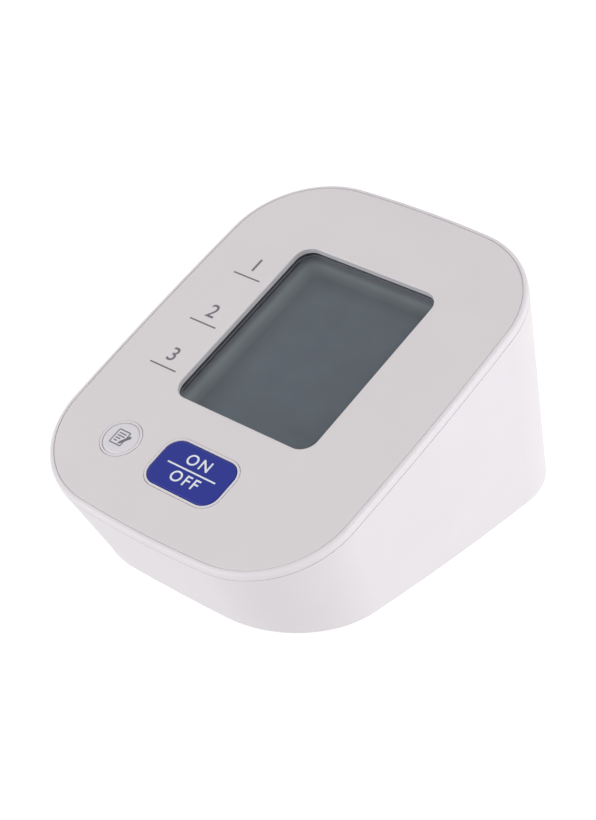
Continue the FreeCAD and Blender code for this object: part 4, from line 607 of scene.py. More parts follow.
@dataclass(frozen=True)
class PaintedShadeDisplay(Finish):
    """A display's grey, with the soft shadow of the window's edges painted on it and painted light towards its foot."""

    plane: Plane
    shades: tuple[tuple[float, Colour], ...] = DISPLAY_PAINTED_SHADE
    left: float = -0.0264
    top: float = 0.0410
    foot: float = -0.0212
    slope: float = 0.84
    corner: float = 0.004
    # Painted light: the share by which the display is brightened at its foot
    lift: float = 0.5
    painted_lift_reach: float = 0.0065

    def paint(self, shader: Shader) -> None:
        """Lay out the display's nodes, with its painted shadow and painted light.

        Args:
            shader: The material's nodes.
        """
        # Painted shadow: the colour comes from the distance to the window's left and top edges
        axes = shader.axes(shader.within(self.plane))
        left = shader.sum(Sum.MULTIPLY, shader.sum(Sum.SUBTRACT, axes["X"], self.left), self.slope)
        top = shader.sum(Sum.MULTIPLY, shader.sum(Sum.SUBTRACT, axes["Y"], self.top), -1.0)
        reach = self.shades[-1][0]
        near = shader.sum(Sum.MULTIPLY, shader.sum(Sum.SMOOTH_MIN, left, top, self.corner), 1/(reach*MILLI))
        # Painted light towards the display's foot, against the shade of the window's lower wall
        foot = shader.span(axes["Y"], 0.0, 1.0, self.foot + self.painted_lift_reach, self.foot)
        lift = shader.sum(Sum.MULTIPLY, shader.sum(Sum.POWER, foot, 2.0), self.lift)
        painted_lift_node = shader.add("ShaderNodeVectorMath")
        painted_lift_node.operation = "SCALE"
        stops = [(distance/reach, colour) for distance, colour in self.shades]
        shader.fill(painted_lift_node, Vector=shader.ramp(near, stops), Scale=shader.sum(Sum.ADD, lift, 1.0))
        shader.set(Base_Color=painted_lift_node.outputs["Vector"], Specular_IOR_Level=0.2,
                   Roughness=shader.span(shader.noise(4200.0, 2.0), 0.3, 0.4))


@dataclass(frozen=True)
class Backdrop(Finish):
    """The floor's pale sheet, which glows a little to the eye and is clear from below."""

    white: float = 0.45
    glow: float = 0.73

    def paint(self, shader: Shader) -> None:
        """Lay out the sheet's nodes.

        Args:
            shader: The material's nodes.
        """
        tone = shader.tint(shader.noise(3.0, 2.0), (self.white, self.white, self.white), 0.01)
        shader.set(Base_Color=tone, Roughness=0.9, Specular_IOR_Level=0.1, Emission_Color=(1.0, 1.0, 1.0, 1.0),
                   Emission_Strength=shader.span(shader.seen_directly(), 0.0, self.glow))
        sides = shader.add("ShaderNodeMixShader", Fac=shader.add("ShaderNodeNewGeometry").outputs["Backfacing"])
        shader.give(sides.inputs[1], shader.surface.outputs["BSDF"])
        shader.give(sides.inputs[2], shader.add("ShaderNodeBsdfTransparent").outputs["BSDF"])
        shader.show(sides.outputs["Shader"])


# Finishes that several sub-assemblies share
SHELL = Moulded("shell_white", SHELL_WHITE)
NATURAL = Moulded("natural_moulding", (0.66, 0.66, 0.62), roughness=0.5)
BLACK = Moulded("black_moulding", (0.018, 0.018, 0.02), roughness=0.5, spread=0.1)
STEEL = Metal("plated_steel", (0.60, 0.61, 0.62))


# Small pieces on a surface

def link(piece: Thing) -> None:
    """Put an object into the scene."""
    bpy.context.scene.collection.objects.link(piece)


def mesh_piece(name: str, fill: Callable[[Drawing], None]) -> Thing:
    """Make a mesh object from a function that fills it.

    Args:
        name: The piece's name.
        fill: Draws the mesh.

    Returns:
        The new object.
    """
    mesh = bpy.data.meshes.new(name)
    drawn = bmesh.new()
    fill(drawn)
    bmesh.ops.recalc_face_normals(drawn, faces=drawn.faces)
    drawn.to_mesh(mesh)
    drawn.free()
    piece = bpy.data.objects.new(name, mesh)
    link(piece)
    return piece


def rounded_outline(width: float, length: float, radius: float, steps: int = 6) -> list[Point]:
    """Give the corners of a rectangle with round corners, about its middle.

    Args:
        width: Size across.
        length: Size along.
        radius: Corner radius.
        steps: Straight stretches in each corner.

    Returns:
        The outline's points.
    """
    points = []
    for turn, (side_x, side_y) in enumerate(((1, 1), (-1, 1), (-1, -1), (1, -1))):
        for step in range(steps + 1):
            angle = (turn + step/steps)*math.pi/2
            points.append((side_x*(width/2 - radius) + radius*math.cos(angle),
                           side_y*(length/2 - radius) + radius*math.sin(angle)))
    return points


def circle(radius: float, steps: int = 28) -> list[Point]:
    """Give the points of a circle about its middle."""
    angles = (math.tau*step/steps for step in range(steps))
    return [(radius*math.cos(angle), radius*math.sin(angle)) for angle in angles]


def plus(size: float, width: float) -> list[Point]:
    """Give the outline of a plus sign about its middle.

    Args:
        size: Length of its bars.
        width: Width of its bars.

    Returns:
        The outline's points.
    """
    far, near = size/2, width/2
    points = []
    for cos, sin in ((1, 0), (0, 1), (-1, 0), (0, -1)):
        points += [(x*cos - y*sin, x*sin + y*cos) for x, y in ((far, near), (near, near), (near, far))]
    return points


Rings = list[list[bmesh.types.BMVert]]


def join(drawn: Drawing, rings: Rings) -> None:
    """Join each ring of points to the next one with faces.

    Args:
        drawn: The mesh.
        rings: The rings, with as many points each.
    """
    for first, second in zip(rings, rings[1:]):
        for index in range(len(first)):
            after = (index + 1) % len(first)
            drawn.faces.new((first[index], first[after], second[after], second[index]))


def tube(drawn: Drawing, rings: Rings) -> None:
    """Join a row of rings and close both its ends.

    Args:
        drawn: The mesh.
        rings: The rings, with as many points each.
    """
    drawn.faces.new(reversed(rings[0]))
    drawn.faces.new(rings[-1])
    join(drawn, rings)


def slab(drawn: Drawing, surface: Surface, outline: Iterable[Point], middle: Point, low: float, high: float) -> None:
    """Add a flat slab with a given outline to a mesh.

    Args:
        drawn: The mesh.
        surface: What it lies on.
        outline: Points about the slab's middle, in millimetres.
        middle: The middle's place on the surface.
        low: Height of its underside.
        high: Height of its top.
    """
    spots = [(x + middle[0], y + middle[1]) for x, y in outline]
    tube(drawn, [[drawn.verts.new(surface.point(x, y, level)) for x, y in spots] for level in (low, high)])


def band(drawn: Drawing, surface: Surface, outer: Sequence[Point], inner: Sequence[Point], middle: Point,
         low: float, high: float) -> None:
    """Add a flat band between two outlines with as many points to a mesh.

    Args:
        drawn: The mesh.
        surface: What it lies on.
        outer: The outer outline, about the band's middle, in millimetres.
        inner: The inner outline.
        middle: The middle's place on the surface.
        low: Height of its underside.
        high: Height of its top.
    """
    rings = [[drawn.verts.new(surface.point(x + middle[0], y + middle[1], level)) for x, y in outline]
             for outline, level in ((outer, low), (outer, high), (inner, high), (inner, low))]
    join(drawn, [*rings, rings[0]])


def ribbon(drawn: Drawing, surface: Surface, size: Point, middle: Point, high: float, steps: int = 14) -> None:
    """Add a thin bar that bends with a curved surface to a mesh.

    Args:
        drawn: The mesh.
        surface: What it lies on.
        size: Its sizes across and along the surface.
        middle: The middle's place on the surface.
        high: Height of its top; its underside is as far below the surface.
        steps: Straight stretches across it.
    """
    x, y = middle
    width, length = size
    corners = ((-length/2, -high), (length/2, -high), (length/2, high), (-length/2, high))
    places = [x + width*(step/steps - 0.5) for step in range(steps + 1)]
    tube(drawn, [[drawn.verts.new(surface.point(across, y + rise, level)) for rise, level in corners]
                 for across in places])


def dress(piece: Thing, finish: Finish) -> None:
    """Give a piece one finish."""
    piece.data.materials.clear()
    piece.data.materials.append(finish.make())


def dress_nodes(finish: Finish, *names: str) -> None:
    """Give nodes of the part one finish."""
    for name in names:
        dress(frame["nodes"][name], finish)


def carry(piece: Thing, finish: Finish, body: Body) -> None:
    """Dress a piece, let it ride on a body, note its slot and report it.

    Args:
        Dress a piece, let it ride on a body and report it.
        finish: Its finish.
        body: The body that it moves with.
    """
    dress(piece, finish)
    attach(piece, body.value)
    log.info("%s rides on %s", piece.name, body.value)


# Sub-assemblies, whose sizes are in millimetres

@dataclass(frozen=True)
class Cell:
    """One of the part's cells: its node, its middle, half its length and the way that it points."""

    node: str
    middle: Vector
    half: float
    way: int


def cells() -> list[Cell]:
    """Find the part's cells, of which every second one is turned round.

    Returns:
        The cells in their order.
    """
    found = []
    for index in range(4):
        node = f"battery_cell_{index + 1}"
        low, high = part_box(node)
        found.append(Cell(node, (low + high)/(2*MILLI), (high.y - low.y)/(2*MILLI), 1 if index % 2 == 0 else -1))
    return found


@dataclass
class Housing:
    """The two shells, the battery cover, the feet and the screws, with their small marks."""

    plane: Plane
    foot: Rubber = Rubber("foot_rubber", (0.16, 0.16, 0.165))
    outside: Wall = Wall("battery_cover", (0, 0, -1), (0, 1, 0))
    inside: Wall = Wall("battery_cover", (0, 0, 1), (0, 1, 0))
    root: float = 0.1
    relief: float = 0.3
    ridge_count: int = 5
    ridge_width: float = 14.0
    ridge_pitch: float = 1.7
    ridge_start: float = 4.5
    arrow_outline: tuple[Point, ...] = ((-4, 2.6), (0, -2.6), (4, 2.6))
    arrow_start: float = 18.0
    line: float = 0.4
    line_relief: float = 0.15
    cell_size: Point = (10.0, 36.0)
    cell_corner: float = 1.4
    knob_size: Point = (4.0, 1.4)
    knob_shift: float = 18.7
    sign_size: Point = (3.6, 0.8)
    sign_shift: float = 13.0

    def front(self) -> float:
        """Give the place of the cover's front edge."""
        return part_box("battery_cover")[0].y/MILLI

    def ridges(self, drawn: Drawing) -> None:
        """Draw the cover's grip ridges.

        Args:
            drawn: The mesh.
        """
        outline = rounded_outline(self.ridge_width, self.ridge_pitch/2, self.ridge_pitch/5)
        for index in range(self.ridge_count):
            place = self.front() + self.ridge_start + index*self.ridge_pitch
            slab(drawn, self.outside, outline, (0, place), -self.root, self.relief)

    def arrow(self, drawn: Drawing) -> None:
        """Draw the arrow that shows which edge of the cover opens."""
        place = (0, self.front() + self.arrow_start)
        slab(drawn, self.outside, self.arrow_outline, place, -self.root, self.relief)

    def diagram(self, drawn: Drawing) -> None:
        """Draw the outlines and signs of the cells inside the cover.

        Args:
            drawn: The mesh.
        """
        width, length = self.cell_size
        outer = rounded_outline(width, length, self.cell_corner, 3)
        inner = rounded_outline(width - 2*self.line, length - 2*self.line, self.cell_corner - self.line, 3)
        for cell in cells():
            x, y = cell.middle.xy
            band(drawn, self.inside, outer, inner, (x, y), -ROOT, self.line_relief)
            for outline, shift in ((rounded_outline(*self.knob_size, 0.3, 2), self.knob_shift),
                                   (plus(*self.sign_size), self.sign_shift),
                                   (rounded_outline(*self.sign_size, 0.1, 2), -self.sign_shift)):
                slab(drawn, self.inside, outline, (x, y + cell.way*shift), -ROOT, self.line_relief)

    def build(self) -> None:
        """Add the raised marks of the cover."""
        for name, fill in (("cover_grip_ridges", self.ridges), ("cover_arrow", self.arrow),
                           ("cover_cell_diagram", self.diagram)):
            carry(mesh_piece(name, fill), SHELL, Body.COVER)

    def dress(self) -> None:
        """Finish the shells, feet and screws."""
        dress_nodes(SHELL, "lower_case", "battery_cover")
        # The upper shell carries painted shade round the display's opening
        dress_nodes(PaintedShadeShell("shell_white_painted_shade", SHELL_WHITE, plane=self.plane), "upper_case")
        dress_nodes(self.foot, *(f"rubber_foot_{index}" for index in range(1, 5)))
        dress_nodes(STEEL, "case_screws", "board_screws", "pump_screws")


@dataclass
class FrontPanel:
    """The faceplate with its window, display, keys and printed marks."""

    plane: Plane
    blue: Moulded = Moulded("start_key_blue", KEY_BLUE, roughness=0.38, specular=0.2)
    white: Moulded = Moulded("memory_key_white", KEY_WHITE, roughness=0.4)
    lens: Clear = Clear("window_acrylic")
    grey_ink: Ink = Ink("grey_ink", srgb(112, 112, 120))
    white_ink: Ink = Ink("white_ink", (0.80, 0.83, 0.90))
    seat_depth: float = 1.0
    bond_width: float = 0.12
    bond_top: float = -0.3
    key_row: float = -42.8
    key_top: float = 0.3
    start_size: Point = (24.9, 15.6)
    start_corner: float = 4.6
    memory_column: float = -26.7
    memory_radius: float = 5.4
    lip_width: float = 0.1
    lip_top: float = -0.12
    lip_depth: float = 0.6
    ink_depth: float = 0.02
    bar_size: Point = (17.4, 0.5)
    word_size: float = 5.0
    word_shift: float = 3.2
    letter_gap: float = 1.25
    letter_weight: float = 0.055
    sheet_shift: float = -0.3
    sheet_size: Point = (4.4, 5.2)
    sheet_line: float = 0.36
    sheet_rules: tuple[Point, ...] = ((2.6, 1.4), (2.6, 0.5), (1.7, -0.4), (1.3, -1.3))
    pen: tuple[Point, ...] = ((0, -1.9), (0.75, -1.5), (2.7, 1.3), (1.9, 1.9), (0, -1))
    pen_shift: Point = (0.75, -0.2)
    pen_rise: float = 0.01
    row_marks: tuple[tuple[str, Point], ...] = (("1", (-33.0, 26.4)), ("2", (-33.4, 6.2)), ("3", (-33.4, -12.0)))
    number_size: float = 7.0
    rule_size: Point = (10.0, 0.5)
    rule_drop: float = 4.7

    def word(self, name: str, text: str, middle: Point, size: float, height: float) -> Thing:
        """Print a word or a number on the panel.

        Args:
            name: The piece's name.
            text: What it says.
            middle: Its middle on the panel.
            size: Letter size.
            height: Height of the surface that it is printed on.

        Returns:
            The printed piece.
        """
        curve = bpy.data.curves.new(name + "_line", "FONT")
        curve.body = text
        curve.size = size*MILLI
        curve.space_character = self.letter_gap
        curve.extrude = self.ink_depth*MILLI/2
        curve.offset = self.letter_weight*MILLI
        curve.align_x = curve.align_y = "CENTER"
        letters = bpy.data.objects.new(name + "_letters", curve)
        link(letters)
        bpy.context.view_layer.update()
        mesh = bpy.data.meshes.new_from_object(letters)
        bpy.data.objects.remove(letters)
        lift = Plane(self.plane.point(*middle, height), self.plane.across, self.plane.along, self.plane.normal)
        mesh.transform(lift.matrix())
        mesh.name = name
        piece = bpy.data.objects.new(name, mesh)
        link(piece)
        return piece

    def bond(self, drawn: Drawing) -> None:
        """Draw the bead of glue in the gap round the faceplate.

        Args:
            drawn: The mesh.
        """
        inner, outer = [], []
        for x, y in circle(1.0, 240):
            way = self.plane.across*x + self.plane.along*y
            spot, normal = cast("faceplate", self.plane.point(0, 0, -self.seat_depth) + way*0.2, -way)
            for width, points in ((-self.bond_width, inner), (self.bond_width, outer)):
                step = spot + normal*(width*MILLI) - self.plane.origin
                points.append((step.dot(self.plane.across)/MILLI, step.dot(self.plane.along)/MILLI))
        band(drawn, self.plane, outer, inner, (0, 0), -self.seat_depth, self.bond_top)

    def start_outline(self, out: float) -> list[Point]:
        """Give the start key's outline, moved outwards."""
        width, length = self.start_size
        return rounded_outline(width + 2*out, length + 2*out, self.start_corner + out, 12)

    def start_lip(self, drawn: Drawing) -> None:
        """Draw the thin lip round the start key's side."""
        outer, inner = self.start_outline(self.lip_width), self.start_outline(-self.lip_width)
        band(drawn, self.plane, outer, inner, (0, self.key_row), self.lip_top - self.lip_depth, self.lip_top)

    def memory_lip(self, drawn: Drawing) -> None:
        """Draw the thin lip round the memory key's side."""
        outer, inner = (circle(self.memory_radius + out, 96) for out in (self.lip_width, -self.lip_width))
        band(drawn, self.plane, outer, inner, (self.memory_column, self.key_row),
             self.lip_top - self.lip_depth, self.lip_top)

    def bar(self, drawn: Drawing) -> None:
        """Draw the bar between the start key's two words."""
        slab(drawn, self.plane, rounded_outline(*self.bar_size, self.bar_size[1]/3), (0, self.key_row),
             self.key_top - self.ink_depth, self.key_top + self.ink_depth)

    def sheet_mark(self, drawn: Drawing) -> None:
        """Draw the memory key's sign: a ruled sheet with a pen across its corner.

        Args:
            drawn: The mesh.
        """
        x, y = self.memory_column + self.sheet_shift, self.key_row
        low, high = self.key_top - self.ink_depth, self.key_top + self.ink_depth
        width, length = self.sheet_size
        inner = rounded_outline(width - 2*self.sheet_line, length - 2*self.sheet_line, 0.1, 3)
        band(drawn, self.plane, rounded_outline(width, length, 0.4, 3), inner, (x, y), low, high)
        longest = self.sheet_rules[0][0]
        for rule, rise in self.sheet_rules:
            outline = rounded_outline(rule, self.sheet_line, 0.1, 2)
            slab(drawn, self.plane, outline, (x + (rule - longest)/2, y + rise), low, high)
        place = (x + self.pen_shift[0], y + self.pen_shift[1])
        slab(drawn, self.plane, self.pen, place, low, high + self.pen_rise)

    def rules(self, drawn: Drawing) -> None:
        """Draw the short rule below each row's number."""
        for _, (x, y) in self.row_marks:
            slab(drawn, self.plane, rounded_outline(*self.rule_size, 0.2), (x, y - self.rule_drop),
                 -self.ink_depth, self.ink_depth)

    def build(self) -> None:
        """Add the bead and the lips, and print the marks on the keys and beside the display."""
        carry(mesh_piece("faceplate_bond", self.bond), SHELL, Body.HOUSING)
        carry(mesh_piece("start_key_lip", self.start_lip), self.blue, Body.START_KEY)
        carry(mesh_piece("memory_key_lip", self.memory_lip), self.white, Body.MEMORY_KEY)
        carry(mesh_piece("start_key_bar", self.bar), self.white_ink, Body.START_KEY)
        for name, text, shift in (("start_key_upper_word", "ON", self.word_shift),
                                  ("start_key_lower_word", "OFF", -self.word_shift)):
            word = self.word(name, text, (0, self.key_row + shift), self.word_size, self.key_top)
            carry(word, self.white_ink, Body.START_KEY)
        carry(mesh_piece("memory_key_mark", self.sheet_mark), self.grey_ink, Body.MEMORY_KEY)
        carry(mesh_piece("row_rules", self.rules), self.grey_ink, Body.HOUSING)
        for text, place in self.row_marks:
            number = self.word(f"row_number_{text}", text, place, self.number_size, 0.0)
            carry(number, self.grey_ink, Body.HOUSING)

    def dress(self) -> None:
        """Finish the plate, the window and the keys."""
        # The faceplate's window walls carry painted shade
        plate = PaintedEdgeShadeSheet("faceplate_grey", PLATE_GREY, roughness=0.46, depth=0.000004, plane=self.plane)
        for finish, node in ((plate, "faceplate"), (self.blue, "start_button"), (self.white, "memory_button"),
                             (self.lens, "window_lens"), (PaintedShadeDisplay("display_grey", self.plane), "lcd_glass")):
            dress_nodes(finish, node)


@dataclass(frozen=True)
class SmallPart:
    """One kind of small part on the board: its turn in the rows, its height and its corners' radius."""

    turn: int
    height: float
    corner: float


@dataclass
class Electronics:
    """The board, what it carries, its leads and the display's holder."""

    plane: Plane
    tan: Moulded = Moulded("tan_stem", (0.42, 0.27, 0.10))
    sleeve: Moulded = Moulded("capacitor_sleeve", (0.03, 0.035, 0.11), roughness=0.3)
    pale: Moulded = Moulded("sensor_pale", (0.50, 0.50, 0.46))
    lead: Moulded = Moulded("lead_insulation", (0.36, 0.018, 0.015), roughness=0.35, spread=0.12, clouds=400.0)
    clay: Moulded = Moulded("ceramic_tan", (0.30, 0.17, 0.07), roughness=0.55, spread=0.08)
    strip: Rubber = Rubber("zebra_rubber", (0.22, 0.22, 0.23))
    root: float = 0.01
    chips: tuple[tuple[Point, Point, int], ...] = (
        ((0, 12), (12, 12), 9), ((-12, 12), (5, 4), 4), ((12, 12), (5, 4), 4))
    leg_width: float = 0.4
    leg_share: float = 0.86
    leg_steps: tuple[Point, ...] = ((1.1, 0.18), (0.3, 0.85))
    part_rows: tuple[float, ...] = (-30.0, -22.0, -14.0, -6.0)
    part_columns: tuple[float, ...] = (-19.0, -13.0, -7.0, -1.0, 5.0)
    part_size: Point = (1.3, 1.25)
    resistor: SmallPart = SmallPart(0, 0.5, 0.08)
    ceramic: SmallPart = SmallPart(1, 0.9, 0.12)
    end_size: Point = (0.45, 1.32)
    end_shift: float = 0.85
    end_rise: float = 0.04

    def underside(self) -> Plane:
        """Find the plane of the board's underside.

        Returns:
            The plane, facing down.
        """
        panel = self.plane
        points = [vertex.co - panel.origin for vertex in frame["nodes"]["main_board"].data.vertices]
        depth = min(point.dot(panel.normal) for point in points)
        return Plane(panel.origin + panel.normal*depth, panel.across, -panel.along, -panel.normal)

    def legs(self, drawn: Drawing) -> None:
        """Draw the bent legs of the chips.

        Args:
            drawn: The mesh.
        """
        under = self.underside()
        for (x, y), size, count in self.chips:
            sides = (0, 1) if size[0] == size[1] else (1,)
            for axis, index, way, (reach, high) in product(sides, range(count), (-1, 1), self.leg_steps):
                along = (index - (count - 1)/2)*size[1 - axis]*self.leg_share/(count - 1)
                out = way*(size[axis] + reach)/2
                spot = (x + out, y + along) if axis == 0 else (x + along, y + out)
                shape = (reach, self.leg_width) if axis == 0 else (self.leg_width, reach)
                slab(drawn, under, rounded_outline(*shape, 0.06, 2), spot, -self.root, high)

    def places(self, kind: SmallPart) -> Iterable[Point]:
        """Give the places of one kind of small part on the board.

        Args:
            kind: The kind.

        Yields:
            Each place on the underside.
        """
        for row, y in enumerate(self.part_rows):
            for column, x in enumerate(self.part_columns):
                if (row*2 + column) % 3 == kind.turn:
                    yield x + row % 2, y

    def bodies(self, kind: SmallPart, drawn: Drawing) -> None:
        """Draw the bodies of one kind of small part."""
        outline = rounded_outline(*self.part_size, kind.corner, 2)
        for spot in self.places(kind):
            slab(drawn, self.underside(), outline, spot, -self.root, kind.height)

    def part_ends(self, drawn: Drawing) -> None:
        """Draw the tinned ends of the small parts.

        Args:
            drawn: The mesh.
        """
        outline = rounded_outline(*self.end_size, 0.1, 2)
        for kind in (self.resistor, self.ceramic):
            for (x, y), way in product(self.places(kind), (-1, 1)):
                spot = (x + way*self.end_shift, y)
                slab(drawn, self.underside(), outline, spot, -self.root, kind.height + self.end_rise)

    def build(self) -> None:
        """Add the small pieces on the board's underside."""
        for name, fill, finish, slot in (
                ("chip_legs", self.legs, STEEL, "steel"),
                ("board_resistors", partial(self.bodies, self.resistor), BLACK, "switch_black"),
                ("board_ceramics", partial(self.bodies, self.ceramic), self.clay, "stem_tan"),
                ("board_part_ends", self.part_ends, STEEL, "steel")):
            carry(mesh_piece(name, fill), finish, Body.HOUSING)

    def dress(self) -> None:
        """Finish the board and its pieces."""
        dress_nodes(Laminate("green_laminate", self.plane), "main_board")
        dress_nodes(BLACK, "board_chips", "buzzer", "start_switch", "memory_switch")
        dress_nodes(self.tan, "start_switch_stem", "memory_switch_stem")
        dress_nodes(self.sleeve, "board_capacitors")
        dress_nodes(self.pale, "pressure_sensor")
        dress_nodes(self.lead, "wire_leads")
        dress_nodes(self.strip, "lcd_connector_strips")
        dress_nodes(NATURAL, "lcd_frame", "wire_headers")


@dataclass
class AirWorks:
    """The motor, the pump, the valve, the air socket and the hoses."""

    can: Metal = Metal("drawn_can", (0.55, 0.56, 0.57), roughness=0.32)
    brass: Metal = Metal("stamped_brass", (0.72, 0.50, 0.20), roughness=0.3)
    copper: Metal = Metal("wound_copper", (0.55, 0.22, 0.08), roughness=0.36, stretch=(4200.0, 90.0, 90.0))
    rubber: Rubber = Rubber("black_rubber", (0.03, 0.03, 0.032))
    silicone: Rubber = Rubber("silicone_hose", (0.62, 0.64, 0.64), roughness=0.45, translucence=0.4)
    spring_turns: float = 7.5
    spring_wire: float = 0.25
    spring_ease: float = 0.4
    spring_stroke: float = 0.78
    spring_steps: int = 32
    spring_sides: int = 10
    left: Wall = Wall("lower_case", (-1, 0, 0), (0, 0, 1))
    socket: Point = (-17.1, 26.4)
    bead_radius: float = 9.4
    bead_width: float = 1.0
    bead_relief: float = 0.3

    def bead(self, drawn: Drawing) -> None:
        """Draw the raised bead round the air socket."""
        outer, inner = circle(self.bead_radius, 48), circle(self.bead_radius - self.bead_width, 48)
        band(drawn, self.left, outer, inner, self.socket, -ROOT, self.bead_relief)

    def spring(self, drawn: Drawing) -> None:
        """Draw the valve's return spring, with its coils closer at both ends.

        Args:
            drawn: The mesh.
        """
        low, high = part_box("valve_spring")
        wire = self.spring_wire*MILLI
        radius = (high.z - low.z)/2 - wire
        axis_y, axis_z = (low.y + high.y)/2, (low.z + high.z)/2
        steps = round(self.spring_turns*self.spring_steps)
        ring = circle(wire, self.spring_sides)
        rings = []
        for step in range(steps + 1):
            share = step/steps
            angle = math.tau*self.spring_turns*share
            eased = share - self.spring_ease*math.sin(math.tau*share)/math.tau
            out = Vector((0, math.cos(angle), math.sin(angle)))
            middle = Vector((low.x + wire + (high.x - low.x - 2*wire)*eased, axis_y, axis_z)) + out*radius
            rings.append([drawn.verts.new(middle + out*away + Vector((beside, 0, 0))) for away, beside in ring])
        tube(drawn, rings)

    def build(self) -> None:
        """Add the bead of the air socket and the valve's return spring, in place of the part's own spring."""
        carry(mesh_piece("air_socket_bead", self.bead), SHELL, Body.HOUSING)
        coil = mesh_piece("valve_return_spring", self.spring)
        coil.data.shade_smooth()
        carry(coil, STEEL, Body.HOUSING)
        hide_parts("valve_spring")
        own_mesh(coil)

    def dress(self) -> None:
        """Finish the motor, pump, valve and hoses."""
        dress_nodes(self.can, "motor_can")
        dress_nodes(self.brass, "motor_terminals")
        dress_nodes(self.copper, "valve_coil")
        dress_nodes(self.rubber, "motor_sleeve", "pump_diaphragm", "valve_seal")
        dress_nodes(self.silicone, "pump_hose", "valve_hose", "sensor_hose")
        dress_nodes(BLACK, "motor_end_cap")
        dress_nodes(STEEL, "motor_shaft", "valve_frame", "valve_core", "valve_plunger", "valve_spring")
        dress_nodes(NATURAL, "pump_crank", "pump_drive_plate", "pump_housing", "pump_valve_plate", "pump_cover",
                    "valve_bobbin", "valve_nozzle", "air_jack")


@dataclass
class PowerSupply:
    """The cells, their contacts and the adapter socket."""

    cell_ink: Ink = Ink("cell_ink", (0.72, 0.72, 0.70))
    bar_size: Point = (4.2, 1.0)
    bar_relief: float = 0.03
    upright_relief: float = 0.035
    plus_shift: float = 17.0
    minus_shift: float = -19.0
    back: Wall = Wall("lower_case", (0, 1, 0), (0, 0, 1))
    socket: Point = (-22.0, 24.45)
    sign_rise: float = 9.5
    sign_relief: float = 0.2
    ring_pitch: float = 4.6
    ring_radius: float = 1.6
    ring_line: float = 0.3
    dot_radius: float = 0.6
    pole_size: Point = (1.7, 0.35)
    dash_size: Point = (1.4, 0.35)

    def signs(self, drawn: Drawing) -> None:
        """Draw the plus and minus signs on the cells.

        Args:
            drawn: The mesh.
        """
        for cell in cells():
            wall = Wall(cell.node, (0, 0, -1), (0, 1, 0))
            plus_place, minus_place = ((-cell.middle.x, cell.middle.y + cell.way*shift)
                                       for shift in (self.plus_shift, self.minus_shift))
            ribbon(drawn, wall, self.bar_size, plus_place, self.bar_relief)
            ribbon(drawn, wall, self.bar_size[::-1], plus_place, self.upright_relief, 4)
            ribbon(drawn, wall, self.bar_size, minus_place, self.bar_relief)

    def polarity(self, drawn: Drawing) -> None:
        """Draw the sign of the adapter's poles above its socket.

        Args:
            drawn: The mesh.
        """
        x, y = self.socket[0], self.socket[1] + self.sign_rise
        pitch = self.ring_pitch
        outer, inner = circle(self.ring_radius), circle(self.ring_radius - self.ring_line)
        for shift in (-pitch, 0, pitch):
            band(drawn, self.back, outer, inner, (x + shift, y), -ROOT, self.sign_relief)
        dash = rounded_outline(*self.dash_size, 0.1, 2)
        for outline, shift in ((circle(self.dot_radius, 16), 0), (plus(*self.pole_size), pitch),
                               (rounded_outline(*self.pole_size, 0.1, 2), -pitch),
                               (dash, -pitch/2), (dash, pitch/2)):
            slab(drawn, self.back, outline, (x + shift, y), -ROOT, self.sign_relief)

    def build(self) -> None:
        """Add the signs of the cells and of the adapter socket."""
        carry(mesh_piece("cell_signs", self.signs), self.cell_ink, Body.HOUSING)
        carry(mesh_piece("adapter_pole_sign", self.polarity), SHELL, Body.HOUSING)

    def dress(self) -> None:
        """Finish the cells, the contacts and the socket."""
        for index, cell in enumerate(cells()):
            reach = cell.half*cell.way*MILLI
            dress_nodes(Jacket(f"cell_jacket_{index + 1}", cell.middle.y*MILLI, reach), cell.node)
        dress_nodes(STEEL, "battery_plates", "battery_springs", "dc_jack_pin", "dc_jack_contact")
        dress_nodes(BLACK, "dc_jack")


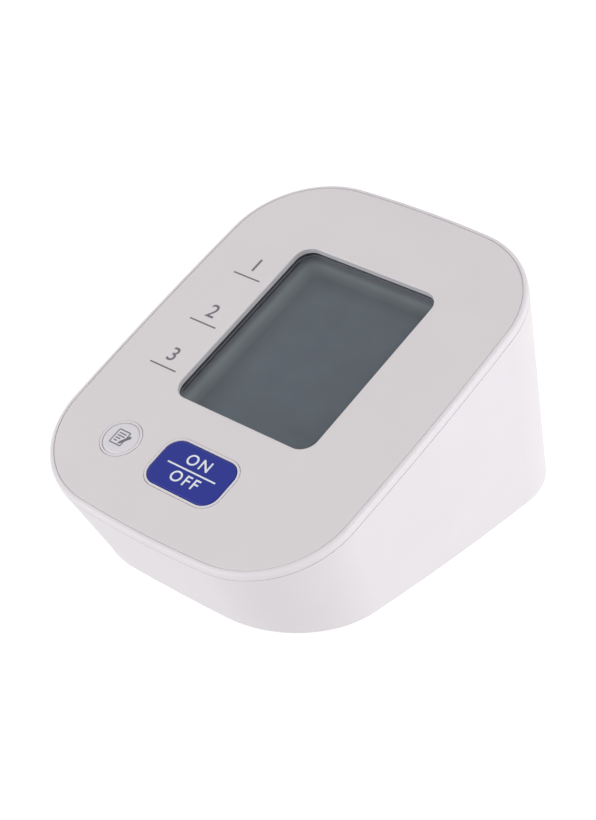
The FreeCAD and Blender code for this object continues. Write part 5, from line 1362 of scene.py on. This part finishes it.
@dataclass
class Studio:
    """The pale floor, the soft lights and the camera, with sizes in metres."""

    location: Triple = (0.314729, -0.381443, 0.329335)
    turn: Triple = (59.1547, -0.633, 40.5043)
    lens: float = 87.954
    ambient: float = 0.64
    ambient_fall: float = 0.14
    sheet: Backdrop = Backdrop("floor_white")
    floor_size: float = 6.0
    floor_level: float = -0.00002
    aim: Triple = (0, 0, 0.04)
    lamps: tuple[tuple[str, Triple, float, float], ...] = (
        ("overhead_softbox", (0.5, 0.6, 1.2), 1.2, 1.8),
        ("right_softbox", (1.15, 0.4, 0.27), 1.0, 7.1),
        ("front_softbox", (-0.45, -1.15, 0.2), 1.0, 6.2),
    )

    def camera(self) -> None:
        """Set the camera at the photograph's viewing angle."""
        data = bpy.data.cameras.new("view")
        data.lens = self.lens
        data.clip_start = 0.01
        camera = bpy.data.objects.new("view", data)
        camera.location = self.location
        camera.rotation_euler = Euler([math.radians(angle) for angle in self.turn])
        link(camera)
        bpy.context.scene.camera = camera

    def lights(self) -> None:
        """Hang the soft lamps round the object."""
        for name, place, size, power in self.lamps:
            data = bpy.data.lights.new(name, "AREA")
            data.shape = "DISK"
            data.size = size
            data.energy = power
            lamp = bpy.data.objects.new(name, data)
            lamp.location = place
            lamp.rotation_euler = (Vector(self.aim) - Vector(place)).to_track_quat("-Z", "Y").to_euler()
            link(lamp)

    def world(self) -> None:
        """Light the object evenly and show white behind it."""
        world = bpy.data.worlds.new("studio")
        world.use_nodes = True
        nodes = Nodes(world.node_tree)
        way = nodes.axes(nodes.add("ShaderNodeTexCoord").outputs["Generated"])
        dome = nodes.span(way["Z"], self.ambient*(1 + self.ambient_fall), self.ambient*(1 - self.ambient_fall), -1.0)
        strength = nodes.span(nodes.seen_directly(), dome, 1.0)
        nodes.fill(nodes.tree.nodes["Background"], Color=(1.0, 1.0, 1.0, 1.0), Strength=strength)
        bpy.context.scene.world = world

    def floor(self) -> None:
        """Lay a pale sheet that keeps the object's shadow and is clear from below."""
        far = self.floor_size/2
        corners = [(x, y, self.floor_level) for x, y in ((-far, -far), (far, -far), (far, far), (-far, far))]
        mesh = bpy.data.meshes.new("floor")
        mesh.from_pydata(corners, [], [(0, 1, 2, 3)])
        piece = bpy.data.objects.new("floor", mesh)
        link(piece)
        piece.visible_diffuse = False
        piece.visible_shadow = False
        piece.visible_glossy = False
        dress(piece, self.sheet)

    def build(self) -> None:
        """Set up the studio."""
        scene = bpy.context.scene
        scene.view_settings.view_transform = "Standard"
        self.camera()
        self.lights()
        self.world()
        self.floor()


@dataclass
class Monitor:
    """The whole dressed part."""

    plane: Plane

    def build(self) -> None:
        """Finish every node and add the pieces made here."""
        for part in (Housing(self.plane), FrontPanel(self.plane), Electronics(self.plane), AirWorks(), PowerSupply()):
            part.dress()
            part.build()
            log.info("%s is done", type(part).__name__)


def main() -> None:
    """Build the studio and the part in order."""
    logging.basicConfig(level=logging.INFO, format="%(message)s")
    Studio().build()
    Monitor(panel_plane()).build()


if __name__ == "__main__":
    main()
